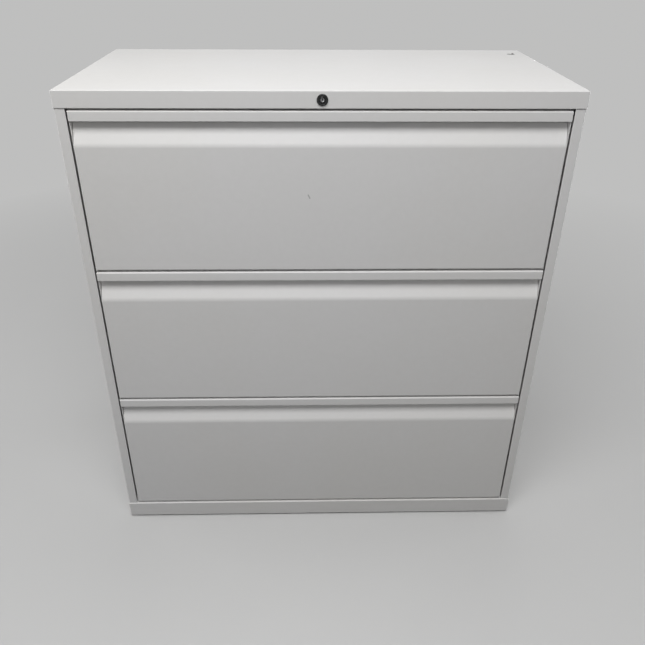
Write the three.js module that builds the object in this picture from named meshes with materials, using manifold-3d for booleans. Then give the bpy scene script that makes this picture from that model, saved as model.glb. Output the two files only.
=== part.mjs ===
// A three-drawer lateral filing cabinet in folded sheet steel, with full-width recessed pulls,
// ball-bearing slides, a central lock and levelling feet.
// Millimetres, +Z up, the drawers face -Y. The origin is on the floor, under the middle of the
// overall box.
import * as THREE from "three";
import { RoundedBoxGeometry } from "three/addons/geometries/RoundedBoxGeometry.js";
import { mergeVertices } from "three/addons/utils/BufferGeometryUtils.js";
import Module from "manifold-3d";

const wasm = await Module();
wasm.setup();

// Overall sizes
const WIDTH = 914;
const DEPTH = 457; // from the front of the top band to the back of the top
const DRAWERS = ["bottom", "middle", "top"];
const FRONT_HEIGHT = 302; // one drawer front
const DRAWER_GAP = 4; // under each drawer front
const TOP_GAP = 3.5; // between the highest drawer front and the top band
const BAND_HEIGHT = 30; // skirt of the top
const BASE_HEIGHT = 39.5; // skirt of the base
const FOOT_STANDOFF = 3; // the base's underside above the floor

// Sheet metal and clearances
const SHEET = 1; // gauge of the case and the drawers
const GAUGE = 1.2; // gauge of the rails, uprights and slides
const BEND = 2; // inside radius of a fold
const TIGHT_BEND = 0.6; // inside radius of a fold in a slide or a hem
const FIT = 0.3; // between pieces that touch
const RUN = 1.5; // between pieces that pass each other
const PLAY = 0.4; // beside a sliding bar and between stacked levers
const PIN_PLAY = 0.6; // around a pin in its slot

// Case
const FACE_INSET = 1.5; // drawer fronts and stiles behind the front of the top and the base
const SIDE_INSET = 0.8; // side panels inside the ends of the top and the base
const SKIRT_LIP = 12; // inward lip under the skirts of the top and the base
const STILE_WIDTH = 18.2;
const BACK_LIP = 20; // inward lip at the rear of a side panel
const BACK_FLANGE = 12; // forward lip at the top and the bottom of the back panel
const BACK_INSET = 1.5; // rear of the side panels inside the back of the top and the base
const UPRIGHT_WIDTH = 40;
const UPRIGHT_SETBACK = 30; // from the front of the drawer tray to the front upright, and so at the rear
const RAIL_FLANGE = 16;
const RAIL_CLEAR = 2; // top front rail inside the skirt of the top

// Drawers
const SIDE_GAP = 3; // between a drawer front and a stile
const HEAD_DEPTH = 28; // front skin and liner together
const PULL_STRIP = 19; // height of the grip strip along the top of a drawer front
const PULL_DROP = 60; // from the top of a drawer front to the crease under the finger recess
const HEM_DEPTH = 4.2; // of the edge rolled under the grip strip
const HEM_RISE = 10;
const CREASE_RADIUS = 20;
const LINER_FLANGE = 10;
const TRAY_RISE = 12; // tray's underside above the bottom of its front
const TRAY_DROP = 44; // tray's rim below the top of its front
const TRAY_HEM = 8;
const TRAY_LIP = 15; // lips that fasten the tray to the liner
const REAR_SPACE = 24; // behind the tray, to the back of the top
const FRAME_BAR = 2;
const FRAME_HEIGHT = 16;
const HOOK_SPACE = 7.5; // between a hanging rail and the wall behind it, for folder hooks

// Slides
const SLIDE_THICKNESS = 12.7;
const SLIDE_HEIGHT = 46;
const SLIDE_CENTRE = 60; // above the bottom of the drawer front
const SLIDE_MARGIN = 3; // at each end of the tray
const BALL_SPACE = 2.4; // between nested members, where the balls run
const WEB_SPACE = 0.9; // between the webs of nested members
const SLIDE_MOUTH = 2; // open edge of the outer members, from the tray wall

// Lock
const LOCK_PROUD = 2.2;
const BEZEL_RADIUS = 10;
const BEZEL_CHAMFER = 1;
const BARREL_RADIUS = 8;
const PLUG_RADIUS = 5.5;
const PLUG_SINK = 0.4; // plug face behind the bezel face
const KEYWAY_WIDTH = 1.8;
const KEYWAY_HEIGHT = 7;
const KEYWAY_DEPTH = 6;
const TAIL_SIZE = 6; // square end of the plug
const NUT_SIDES = 6;
const NUT_FLATS = 19;
const NUT_THICKNESS = 4;
const LEVER = 2; // thickness of the cam, link, bellcrank and lock bar
const LEVER_RADIUS = 6;
const EYE_WALL = 3; // around a slot in the link and above the slot in the lock bar
const PIN_RADIUS = 2;
const PIVOT_RADIUS = 3;
const PIVOT_HEAD = 1.2;
const LOCK_TURN = Math.PI / 2;
const LOCK_CRANK = 8;
const LINK_HEIGHT = 10;
const BELLCRANK_ARM = 25; // from the pivot to the link's pin
const LOCK_LIFT = 8;
const CATCH_RISE = 150; // underside of a catch above the bottom of its drawer front
const CATCH_HEIGHT = 14;
const CATCH_LENGTH = 24;
const FINGER_HEIGHT = 10;
const BRACKET_HEIGHT = 22;
const BAR_TAIL = 30; // lock bar below its lowest finger
const GUIDE_HEIGHT = 12;
const GUIDE_DROP = 66; // from the underside of a catch to the guide below it

// Base fittings
const BASE_RAIL_WIDTH = 50;
const BASE_RAIL_RISE = 15; // underside of a base rail above the base's lip
const BASE_RAIL_GAUGE = 2;
const FOOT_INSET = 52; // foot centres from the ends and the faces of the base
const PAD_RADIUS = 18;
const PAD_HEIGHT = 8;
const PAD_CHAMFER = 1.5;
const STEM_RADIUS = 5;
const STEM_LENGTH = 29;
const ACCESS_RADIUS = 8; // hole in the base deck over each foot
const WEIGHT_WIDTH = 600;
const WEIGHT_DEPTH = 100;
const WEIGHT_THICKNESS = 20;

// Facets
const BEND_STEPS = 4; // for a quarter turn
const COARSE_STEPS = 2;
const ROUND = 24;
const SMALL_ROUND = 16;
const WELD_DISTANCE = 1e-4; // between corners that are the same point

// Heights
const BASE_TOP = FOOT_STANDOFF + BASE_HEIGHT;
const PITCH = FRONT_HEIGHT + DRAWER_GAP;
const CASE_TOP = BASE_TOP + DRAWERS.length * PITCH + TOP_GAP; // underside of the top
const HEIGHT = CASE_TOP + BAND_HEIGHT;
const LOCK_Z = HEIGHT - BAND_HEIGHT / 2;
const drawerBottom = (index) => BASE_TOP + DRAWER_GAP + index * PITCH;
const guideBottom = (index) => drawerBottom(index) + CATCH_RISE - GUIDE_DROP;

// Places from front to back
const FRONT = (LOCK_PROUD - DEPTH) / 2; // front of the top band and the base
const BACK = FRONT + DEPTH;
const FACE = FRONT + FACE_INSET; // front of the drawers and the stiles
const HEAD_BACK = FACE + HEAD_DEPTH;
const SIDE_BACK = BACK - BACK_INSET;
const TRAY_FRONT = HEAD_BACK + FIT;
const TRAY_BACK = BACK - REAR_SPACE;
const SLIDE_FRONT = TRAY_FRONT + SLIDE_MARGIN;
const SLIDE_BACK = TRAY_BACK - SLIDE_MARGIN;
const UPRIGHT_FRONT = TRAY_FRONT + UPRIGHT_SETBACK;
const REAR_UPRIGHT_FRONT = TRAY_BACK - UPRIGHT_SETBACK - UPRIGHT_WIDTH;

// Places from the middle to one side
const HALF = WIDTH / 2;
const SIDE_OUT = HALF - SIDE_INSET;
const SIDE_IN = SIDE_OUT - SHEET;
const STILE_IN = SIDE_OUT - STILE_WIDTH;
const FRONT_HALF = STILE_IN - SIDE_GAP;
const SLIDE_OUT = STILE_IN - RUN;
const TRAY_HALF = SLIDE_OUT - SLIDE_THICKNESS - FIT;

// Stacked planes of the lock's levers, from front to back, behind the heads of the drawers
const BARREL_END = HEAD_BACK + PLAY;
const CAM_Y = BARREL_END + PLAY;
const LINK_Y = CAM_Y + LEVER + PLAY;
const BELLCRANK_Y = LINK_Y + LEVER + PLAY;
const LOCK_BAR_Y = BELLCRANK_Y + LEVER + PLAY;
const BRACKET_Y = LOCK_BAR_Y + LEVER + RUN;
const CATCH_Y = LOCK_BAR_Y + LEVER + PLAY;
const STILE_BACK = LINK_Y - PLAY; // end of the stile's inner wall, in front of the bellcrank

// Lock linkage at rest, which is unlocked
const LINK_STROKE = 2 * LOCK_CRANK * Math.sin(LOCK_TURN / 2);
const SWING = 2 * Math.asin(LINK_STROKE / (2 * BELLCRANK_ARM));
const LIFT_ARM = LOCK_LIFT / (2 * Math.sin(SWING / 2));
const BAR_IN = STILE_IN + RUN + GAUGE;
const BAR_OUT = SIDE_IN - RUN;
const PIVOT_X = (BAR_IN + BAR_OUT) / 2 - (LIFT_ARM * (1 + Math.cos(SWING / 2))) / 2;
const LINK_Z = LOCK_Z - (LOCK_CRANK * (1 + Math.cos(LOCK_TURN / 2))) / 2;
const PIVOT_Z = LINK_Z - (BELLCRANK_ARM * (1 + Math.cos(SWING / 2))) / 2;
const CAM_PIN = [LOCK_CRANK * Math.sin(LOCK_TURN / 2), LOCK_Z - LOCK_CRANK * Math.cos(LOCK_TURN / 2)];
const LINK_PIN = [
  PIVOT_X + BELLCRANK_ARM * Math.sin(SWING / 2),
  PIVOT_Z + BELLCRANK_ARM * Math.cos(SWING / 2),
];
const LIFT_PIN = [PIVOT_X + LIFT_ARM * Math.cos(SWING / 2), PIVOT_Z - LIFT_ARM * Math.sin(SWING / 2)];

// Finishes
const finish = (color, roughness, metalness) =>
  new THREE.MeshStandardMaterial({ color, roughness, metalness });
const PAINT = finish(0xe9e8e5, 0.5, 0);
const ZINC = finish(0xb9bdbf, 0.35, 1);
const STEEL = finish(0x8d9094, 0.4, 1);
const BLACK = finish(0x17181a, 0.35, 0);
const NYLON = finish(0x25262a, 0.6, 0);
const IRON = finish(0x4a4b4d, 0.8, 0);

// Booleans
function toSolid(geometry) {
  const bare = geometry.clone();
  bare.deleteAttribute("normal");
  bare.deleteAttribute("uv");
  const merged = mergeVertices(bare, WELD_DISTANCE);
  return new wasm.Manifold(
    new wasm.Mesh({
      numProp: 3,
      vertProperties: merged.attributes.position.array,
      triVerts: new Uint32Array(merged.index.array),
    }),
  );
}

function toGeometry(solid) {
  const mesh = solid.getMesh();
  const geometry = new THREE.BufferGeometry();
  geometry.setAttribute("position", new THREE.BufferAttribute(mesh.vertProperties, 3));
  geometry.setIndex(new THREE.BufferAttribute(mesh.triVerts, 1));
  return geometry;
}

const join = (first, ...rest) =>
  toGeometry(rest.reduce((solid, geometry) => solid.add(toSolid(geometry)), toSolid(first)));
const cut = (first, ...rest) =>
  toGeometry(rest.reduce((solid, geometry) => solid.subtract(toSolid(geometry)), toSolid(first)));

// Basic shapes
function slab([x0, x1], [y0, y1], [z0, z1]) {
  const geometry = new THREE.BoxGeometry(x1 - x0, y1 - y0, z1 - z0);
  return geometry.translate((x0 + x1) / 2, (y0 + y1) / 2, (z0 + z1) / 2);
}

function rodAlongY(radius, [x, z], [y0, y1], sides = ROUND) {
  return new THREE.CylinderGeometry(radius, radius, y1 - y0, sides).translate(x, (y0 + y1) / 2, z);
}

function rodAlongZ(radius, [x, y], [z0, z1], sides = ROUND) {
  const geometry = new THREE.CylinderGeometry(radius, radius, z1 - z0, sides).rotateX(Math.PI / 2);
  return geometry.translate(x, y, (z0 + z1) / 2);
}

// A profile of radius and height, turned about the Y axis
function turned(profile, sides) {
  return new THREE.LatheGeometry(profile.map(([radius, y]) => new THREE.Vector2(radius, y)), sides);
}

const extrude = (shape, depth) =>
  new THREE.ExtrudeGeometry(shape, { depth, bevelEnabled: false, curveSegments: BEND_STEPS });

// The shape's axes become Y and Z, X and Z, or X and Y.
function alongX(shape, [x0, x1]) {
  return extrude(shape, x1 - x0).rotateX(Math.PI / 2).rotateZ(Math.PI / 2).translate(x0, 0, 0);
}

function alongY(shape, [y0, y1]) {
  return extrude(shape, y1 - y0).rotateX(Math.PI / 2).translate(0, y1, 0);
}

function alongZ(shape, [z0, z1]) {
  return extrude(shape, z1 - z0).translate(0, 0, z0);
}

// The section of a folded sheet. The line runs along one face, and the sheet lies on its left,
// or on its right where the thickness is negative. Each fold has the same inside radius,
// unless radii gives another for that point.
function fold(line, thickness, { radius = BEND, radii = {}, steps = BEND_STEPS } = {}) {
  const points = line.map(([u, v]) => new THREE.Vector2(u, v));
  const near = [];
  const far = [];
  const add = (point, heading) => {
    near.push(point);
    far.push(new THREE.Vector2(-heading.y, heading.x).multiplyScalar(thickness).add(point));
  };
  points.forEach((point, i) => {
    const before = i > 0 ? point.clone().sub(points[i - 1]).normalize() : null;
    const after = i < points.length - 1 ? points[i + 1].clone().sub(point).normalize() : null;
    if (!before || !after) {
      add(point, before ?? after);
      return;
    }
    const turn = Math.atan2(before.cross(after), before.dot(after));
    const inside = radii[i] ?? radius;
    const bend = Math.sign(turn) === Math.sign(thickness) ? inside + Math.abs(thickness) : inside;
    const start = point.clone().addScaledVector(before, -bend * Math.tan(Math.abs(turn) / 2));
    const left = new THREE.Vector2(-before.y, before.x);
    const centre = start.clone().addScaledVector(left, bend * Math.sign(turn));
    const count = Math.max(1, Math.ceil((steps * Math.abs(turn)) / (Math.PI / 2)));
    for (let step = 0; step <= count; step++) {
      const angle = (turn * step) / count;
      const heading = before.clone().rotateAround(new THREE.Vector2(), angle);
      add(start.clone().rotateAround(centre, angle), heading);
    }
  });
  return new THREE.Shape([...near, ...far.reverse()]);
}

function rectangle([u0, u1], [v0, v1], radius = 0) {
  const shape = new THREE.Shape();
  if (radius === 0) {
    return shape.moveTo(u0, v0).lineTo(u1, v0).lineTo(u1, v1).lineTo(u0, v1).closePath();
  }
  shape.moveTo(u0 + radius, v0).lineTo(u1 - radius, v0);
  shape.absarc(u1 - radius, v0 + radius, radius, -Math.PI / 2, 0, false).lineTo(u1, v1 - radius);
  shape.absarc(u1 - radius, v1 - radius, radius, 0, Math.PI / 2, false).lineTo(u0 + radius, v1);
  shape.absarc(u0 + radius, v1 - radius, radius, Math.PI / 2, Math.PI, false).lineTo(u0, v0 + radius);
  return shape.absarc(u0 + radius, v0 + radius, radius, Math.PI, 1.5 * Math.PI, false);
}

// A slot for a pin that moves in a straight line between two points,
// or the outline of a wall around that slot.
function slot([x0, z0], [x1, z1], wall = 0) {
  const reach = PIN_RADIUS + PIN_PLAY + wall;
  return rectangle(
    [Math.min(x0, x1) - reach, Math.max(x0, x1) + reach],
    [Math.min(z0, z1) - reach, Math.max(z0, z1) + reach],
  );
}

function piece(group, name, geometry, material) {
  const mesh = new THREE.Mesh(geometry, material);
  mesh.name = name;
  group.add(mesh);
}

const SIDES = [["left", -1], ["right", 1]];
const across = (side, near, far) => (side > 0 ? [near, far] : [-far, -near]);
const mirrored = (line, side) => line.map(([u, v]) => [side * u, v]);

// Case

// A pan of sheet with its skirt turned down and a lip turned in under the skirt.
function skirtedPan([z0, z1]) {
  const [middleY, middleZ] = [(FRONT + BACK) / 2, (z0 + z1) / 2];
  const block = (inset, radius) => {
    const geometry = new RoundedBoxGeometry(
      WIDTH - 2 * inset,
      DEPTH - 2 * inset,
      z1 - z0 - 2 * inset,
      COARSE_STEPS,
      radius,
    );
    return geometry.translate(0, middleY, middleZ);
  };
  const mouth = slab(
    [SKIRT_LIP - HALF, HALF - SKIRT_LIP],
    [FRONT + SKIRT_LIP, BACK - SKIRT_LIP],
    [z0 - SHEET, z0 + 2 * SHEET],
  );
  return cut(block(0, BEND + SHEET), block(SHEET, BEND), mouth);
}

const lockHole = () => rodAlongY(BARREL_RADIUS + FIT, [0, LOCK_Z], [FRONT - SHEET, BARREL_END]);

function topPanel() {
  return cut(skirtedPan([CASE_TOP, HEIGHT]), lockHole());
}

const footPlaces = SIDES.flatMap(([side, sign]) => [
  [`front_${side}`, sign * (HALF - FOOT_INSET), FRONT + FOOT_INSET],
  [`rear_${side}`, sign * (HALF - FOOT_INSET), BACK - FOOT_INSET],
]);

function basePan() {
  const holes = footPlaces.map(([, x, y]) =>
    rodAlongZ(ACCESS_RADIUS, [x, y], [BASE_TOP - 2 * SHEET, BASE_TOP + SHEET], SMALL_ROUND),
  );
  return cut(skirtedPan([FOOT_STANDOFF, BASE_TOP]), ...holes);
}

function sidePanel(side) {
  const line = [
    [STILE_IN, STILE_BACK],
    [STILE_IN, FACE],
    [SIDE_OUT, FACE],
    [SIDE_OUT, SIDE_BACK],
    [SIDE_OUT - BACK_LIP, SIDE_BACK],
  ];
  return alongZ(fold(mirrored(line, side), side * SHEET), [BASE_TOP + FIT, CASE_TOP - FIT]);
}

function backPanel() {
  const back = SIDE_BACK - SHEET - FIT;
  const half = SIDE_IN - BEND - FIT;
  const [bottom, top] = [BASE_TOP + FIT, CASE_TOP - FIT];
  const line = [[back - BACK_FLANGE, bottom], [back, bottom], [back, top], [back - BACK_FLANGE, top]];
  return alongX(fold(line, SHEET, { steps: COARSE_STEPS }), [-half, half]);
}

function upright(side, front) {
  const [inner, outer] = [SLIDE_OUT + FIT, SIDE_IN - FIT];
  const back = front + UPRIGHT_WIDTH;
  const line = [[outer, front], [inner, front], [inner, back], [outer, back]];
  const section = fold(mirrored(line, side), -side * GAUGE, { steps: COARSE_STEPS });
  return alongZ(section, [BASE_TOP + FIT, CASE_TOP - FIT]);
}

function topFrontRail() {
  const front = FRONT + SHEET + PLAY;
  const [bottom, top] = [CASE_TOP + SHEET + RAIL_CLEAR, HEIGHT - SHEET - RAIL_CLEAR];
  const half = HALF - SHEET - BEND - FIT;
  const line = [[front + RAIL_FLANGE, bottom], [front, bottom], [front, top], [front + RAIL_FLANGE, top]];
  const rail = alongX(fold(line, -GAUGE, { radius: TIGHT_BEND, steps: COARSE_STEPS }), [-half, half]);
  return cut(rail, lockHole());
}

function baseRail(side) {
  const middle = HALF - FOOT_INSET;
  const [inner, outer] = [middle - BASE_RAIL_WIDTH / 2, middle + BASE_RAIL_WIDTH / 2];
  const [web, top] = [FOOT_STANDOFF + BASE_RAIL_RISE, BASE_TOP - SHEET - FIT];
  const line = [[inner, top], [inner, web], [outer, web], [outer, top]];
  const section = fold(mirrored(line, side), side * BASE_RAIL_GAUGE, { steps: COARSE_STEPS });
  const rail = alongY(section, [FRONT + SKIRT_LIP, BACK - SKIRT_LIP]);
  const through = [web - SHEET, web + 2 * BASE_RAIL_GAUGE];
  const holes = footPlaces
    .filter(([, x]) => Math.sign(x) === side)
    .map(([, x, y]) => rodAlongZ(STEM_RADIUS + FIT, [x, y], through, SMALL_ROUND));
  return cut(rail, ...holes);
}

function counterweight() {
  const back = BACK - SKIRT_LIP - RUN;
  const top = BASE_TOP - SHEET - FIT;
  const half = WEIGHT_WIDTH / 2;
  return slab([-half, half], [back - WEIGHT_DEPTH, back], [top - WEIGHT_THICKNESS, top]);
}

function levellingFoot() {
  const profile = [
    [0, 0],
    [PAD_RADIUS - PAD_CHAMFER, 0],
    [PAD_RADIUS, PAD_CHAMFER],
    [PAD_RADIUS, PAD_HEIGHT / 2],
    [STEM_RADIUS + PAD_CHAMFER, PAD_HEIGHT],
    [STEM_RADIUS, PAD_HEIGHT],
    [STEM_RADIUS, PAD_HEIGHT + STEM_LENGTH],
    [0, PAD_HEIGHT + STEM_LENGTH],
  ];
  return turned(profile, SMALL_ROUND).rotateX(Math.PI / 2);
}

const caseGroup = new THREE.Group();
piece(caseGroup, "top_panel", topPanel(), PAINT);
piece(caseGroup, "base_pan", basePan(), PAINT);
piece(caseGroup, "back_panel", backPanel(), PAINT);
piece(caseGroup, "top_front_rail", topFrontRail(), ZINC);
piece(caseGroup, "counterweight", counterweight(), IRON);
for (const [side, sign] of SIDES) {
  piece(caseGroup, `${side}_side_panel`, sidePanel(sign), PAINT);
  piece(caseGroup, `front_${side}_upright`, upright(sign, UPRIGHT_FRONT), ZINC);
  piece(caseGroup, `rear_${side}_upright`, upright(sign, REAR_UPRIGHT_FRONT), ZINC);
  piece(caseGroup, `${side}_base_rail`, baseRail(sign), ZINC);
}
for (const [place, x, y] of footPlaces) {
  const foot = new THREE.Group();
  foot.position.set(x, y, 0);
  piece(foot, `${place}_levelling_foot`, levellingFoot(), NYLON);
  caseGroup.add(foot);
}

// Drawers, with heights above the bottom of their fronts

const TRAY_TOP = FRONT_HEIGHT - TRAY_DROP;
const FLANGE_DEPTH = HEAD_DEPTH - SHEET - FIT; // of the front skin, up to the liner

// Face, sloping finger recess, top and grip strip are one folded sheet between two end plates.
function drawerFront() {
  const crease = FRONT_HEIGHT - PULL_DROP;
  const line = [
    [FACE + FLANGE_DEPTH, 0],
    [FACE, 0],
    [FACE, crease],
    [FACE + FLANGE_DEPTH - 2 * SHEET, FRONT_HEIGHT - SHEET],
    [FACE + SHEET, FRONT_HEIGHT - SHEET],
    [FACE + SHEET, FRONT_HEIGHT - PULL_STRIP + SHEET],
    [FACE + HEM_DEPTH - SHEET, FRONT_HEIGHT - PULL_STRIP + SHEET],
    [FACE + HEM_DEPTH - SHEET, FRONT_HEIGHT - PULL_STRIP + HEM_RISE],
  ];
  const radii = { 2: CREASE_RADIUS, 5: TIGHT_BEND, 6: TIGHT_BEND };
  const skin = alongX(fold(line, -SHEET, { radii }), [-FRONT_HALF, FRONT_HALF]);
  const end = rectangle([FACE, FACE + FLANGE_DEPTH], [0, FRONT_HEIGHT], BEND + SHEET);
  const ends = SIDES.map(([, sign]) => alongX(end, across(sign, FRONT_HALF - SHEET, FRONT_HALF)));
  return join(skin, ...ends);
}

function drawerLiner() {
  const half = FRONT_HALF - SHEET - FIT;
  const crease = FRONT_HEIGHT - PULL_DROP;
  const front = HEAD_BACK - LINER_FLANGE;
  const line = [[-half, front], [-half, HEAD_BACK], [half, HEAD_BACK], [half, front]];
  const flanged = alongZ(fold(line, -SHEET, { steps: COARSE_STEPS }), [SHEET + FIT, crease]);
  const flat = half - BEND - SHEET;
  const height = [crease - SHEET, FRONT_HEIGHT - SHEET];
  const upper = slab([-flat, flat], [HEAD_BACK - SHEET, HEAD_BACK], height);
  return join(flanged, upper);
}

function drawerTray() {
  const rim = TRAY_TOP - SHEET;
  const line = [
    [-TRAY_HALF - TRAY_HEM, rim],
    [-TRAY_HALF, rim],
    [-TRAY_HALF, TRAY_RISE],
    [TRAY_HALF, TRAY_RISE],
    [TRAY_HALF, rim],
    [TRAY_HALF + TRAY_HEM, rim],
  ];
  const trough = alongY(fold(line, SHEET, { steps: COARSE_STEPS }), [TRAY_FRONT, TRAY_BACK]);
  const wall = rectangle([-TRAY_HALF, TRAY_HALF], [TRAY_RISE, TRAY_TOP], BEND + SHEET);
  const flat = TRAY_HALF - BEND - SHEET;
  const rear = alongY(wall, [TRAY_BACK - SHEET, TRAY_BACK]);
  const rearHem = slab([-flat, flat], [TRAY_BACK - SHEET, TRAY_BACK + TRAY_HEM], [rim, TRAY_TOP]);
  const mouth = slab(
    [TRAY_LIP - TRAY_HALF, TRAY_HALF - TRAY_LIP],
    [TRAY_FRONT - SHEET, TRAY_FRONT + 2 * SHEET],
    [TRAY_RISE + TRAY_LIP, TRAY_TOP + SHEET],
  );
  const lips = cut(alongY(wall, [TRAY_FRONT, TRAY_FRONT + SHEET]), mouth);
  return join(trough, rear, rearHem, lips);
}

function hangingFrame() {
  const half = TRAY_HALF - SHEET - FIT;
  const [front, back] = [TRAY_FRONT + SHEET + HOOK_SPACE, TRAY_BACK - SHEET - HOOK_SPACE];
  const inner = half - FRAME_BAR;
  const bar = rectangle([-half, half], [front, back], BEND + FRAME_BAR);
  bar.holes.push(rectangle([-inner, inner], [front + FRAME_BAR, back - FRAME_BAR], BEND));
  return alongZ(bar, [TRAY_TOP - FRAME_HEIGHT, TRAY_TOP]);
}

function lockCatch() {
  const wall = TRAY_HALF + FIT;
  const height = [CATCH_RISE, CATCH_RISE + CATCH_HEIGHT];
  const plate = slab([wall, wall + LEVER], [CATCH_Y, CATCH_Y + CATCH_LENGTH], height);
  const tab = slab([wall, STILE_IN - 2 * RUN], [CATCH_Y, CATCH_Y + LEVER], height);
  return join(plate, tab);
}

// One slide member. Depths are from the tray wall to the web and to the free edges of the flanges.
function slideMember(side, web, edge, halfHeight) {
  const wall = TRAY_HALF + FIT;
  const line = [
    [wall + edge, SLIDE_CENTRE - halfHeight],
    [wall + web, SLIDE_CENTRE - halfHeight],
    [wall + web, SLIDE_CENTRE + halfHeight],
    [wall + edge, SLIDE_CENTRE + halfHeight],
  ];
  const thickness = side * Math.sign(web - edge) * GAUGE;
  const section = fold(mirrored(line, side), thickness, { radius: TIGHT_BEND, steps: COARSE_STEPS });
  return alongY(section, [SLIDE_FRONT, SLIDE_BACK]);
}

DRAWERS.forEach((drawer, index) => {
  const group = new THREE.Group();
  group.position.z = drawerBottom(index);
  piece(group, `${drawer}_drawer_front`, drawerFront(), PAINT);
  piece(group, `${drawer}_drawer_liner`, drawerLiner(), PAINT);
  piece(group, `${drawer}_drawer_tray`, drawerTray(), PAINT);
  piece(group, `${drawer}_hanging_frame`, hangingFrame(), ZINC);
  piece(group, `${drawer}_lock_catch`, lockCatch(), ZINC);
  const webStep = GAUGE + WEB_SPACE;
  const heightStep = GAUGE + BALL_SPACE;
  for (const [side, sign] of SIDES) {
    const member = (name, ...sizes) =>
      piece(group, `${drawer}_${side}_slide_${name}`, slideMember(sign, ...sizes), ZINC);
    member("cabinet_member", SLIDE_THICKNESS, SLIDE_MOUTH, SLIDE_HEIGHT / 2);
    member("middle_member", SLIDE_THICKNESS - webStep, SLIDE_MOUTH, SLIDE_HEIGHT / 2 - heightStep);
    member("drawer_member", 0, SLIDE_THICKNESS - 2 * webStep, SLIDE_HEIGHT / 2 - 2 * heightStep);
  }
  caseGroup.add(group);
});

// Lock

// A plate between two points with a round end about each.
function lever([x0, z0], [x1, z1], front) {
  const square = Math.atan2(z1 - z0, x1 - x0) + Math.PI / 2;
  const shape = new THREE.Shape();
  shape.absarc(x0, z0, LEVER_RADIUS, square, square + Math.PI, false);
  shape.absarc(x1, z1, LEVER_RADIUS, square + Math.PI, square + 2 * Math.PI, false);
  return alongY(shape, [front, front + LEVER]);
}

function lockHousing() {
  const bore = PLUG_RADIUS + FIT;
  const [face, seat] = [FRONT - LOCK_PROUD, FRONT - FIT];
  const profile = [
    [bore, face],
    [BEZEL_RADIUS - BEZEL_CHAMFER, face],
    [BEZEL_RADIUS, face + BEZEL_CHAMFER],
    [BEZEL_RADIUS, seat],
    [BARREL_RADIUS, seat],
    [BARREL_RADIUS, BARREL_END],
    [bore, BARREL_END],
    [bore, face],
  ];
  return turned(profile, ROUND).translate(0, 0, LOCK_Z);
}

function lockNut() {
  const front = FRONT + SHEET + PLAY + GAUGE + FIT;
  const corner = NUT_FLATS / 2 / Math.cos(Math.PI / NUT_SIDES);
  const hexagon = rodAlongY(corner, [0, 0], [front, front + NUT_THICKNESS], NUT_SIDES);
  return cut(hexagon.rotateY(Math.PI / NUT_SIDES).translate(0, 0, LOCK_Z), lockHole());
}

function lockPlug() {
  const face = FRONT - LOCK_PROUD + PLUG_SINK;
  const body = rodAlongY(PLUG_RADIUS, [0, LOCK_Z], [face, BARREL_END]);
  const half = TAIL_SIZE / 2;
  const tail = slab([-half, half], [BARREL_END - LEVER, LINK_Y], [LOCK_Z - half, LOCK_Z + half]);
  const keyway = slab(
    [-KEYWAY_WIDTH / 2, KEYWAY_WIDTH / 2],
    [face - SHEET, face + KEYWAY_DEPTH],
    [LOCK_Z - KEYWAY_HEIGHT / 2, LOCK_Z + KEYWAY_HEIGHT / 2],
  );
  return cut(join(body, tail), keyway);
}

function lockCam() {
  const half = TAIL_SIZE / 2 + FIT;
  const hole = slab([-half, half], [CAM_Y - PLAY, CAM_Y + LEVER + PLAY], [LOCK_Z - half, LOCK_Z + half]);
  const pin = rodAlongY(PIN_RADIUS, CAM_PIN, [CAM_Y, LINK_Y + LEVER + PLAY], SMALL_ROUND);
  return join(cut(lever([0, LOCK_Z], CAM_PIN, CAM_Y), hole), pin);
}

// A bar that the cam's pin pushes sideways, with an upright slot at each end.
function lockLink() {
  const bar = slab(
    [CAM_PIN[0], LINK_PIN[0]],
    [LINK_Y, LINK_Y + LEVER],
    [LINK_Z - LINK_HEIGHT / 2, LINK_Z + LINK_HEIGHT / 2],
  );
  const runs = [
    [CAM_PIN, [CAM_PIN[0], LOCK_Z - LOCK_CRANK]],
    [LINK_PIN, [LINK_PIN[0], PIVOT_Z + BELLCRANK_ARM]],
  ];
  const eyes = runs.map((run) => alongY(slot(...run, EYE_WALL), [LINK_Y, LINK_Y + LEVER]));
  const holes = runs.map((run) => alongY(slot(...run), [LINK_Y - PLAY, LINK_Y + LEVER + PLAY]));
  return cut(join(bar, ...eyes), ...holes);
}

function bellcrank() {
  const pivot = [PIVOT_X, PIVOT_Z];
  const arms = join(lever(pivot, LINK_PIN, BELLCRANK_Y), lever(pivot, LIFT_PIN, BELLCRANK_Y));
  const through = [BELLCRANK_Y - PLAY, BELLCRANK_Y + LEVER + PLAY];
  const hole = rodAlongY(PIVOT_RADIUS + FIT, pivot, through, SMALL_ROUND);
  const linkPin = rodAlongY(PIN_RADIUS, LINK_PIN, [LINK_Y - PLAY, BELLCRANK_Y + LEVER], SMALL_ROUND);
  const liftPin = rodAlongY(PIN_RADIUS, LIFT_PIN, [BELLCRANK_Y, LOCK_BAR_Y + LEVER + PLAY], SMALL_ROUND);
  return join(cut(arms, hole), linkPin, liftPin);
}

function bellcrankBracket() {
  const [inner, outer] = [PIVOT_X - LEVER_RADIUS, SIDE_IN - FIT];
  const height = [PIVOT_Z - BRACKET_HEIGHT / 2, PIVOT_Z + BRACKET_HEIGHT / 2];
  const plate = slab([inner, outer], [BRACKET_Y, BRACKET_Y + LEVER], height);
  const foot = slab([outer - LEVER, outer], [BRACKET_Y, UPRIGHT_FRONT - FIT], height);
  const place = [PIVOT_X, PIVOT_Z];
  const headBack = BELLCRANK_Y - PLAY;
  const headFront = headBack - PIVOT_HEAD;
  const pivot = rodAlongY(PIVOT_RADIUS, place, [headFront, BRACKET_Y + LEVER], SMALL_ROUND);
  const head = rodAlongY(PIVOT_RADIUS + PIVOT_HEAD, place, [headFront, headBack], SMALL_ROUND);
  return join(plate, foot, pivot, head);
}

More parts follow.
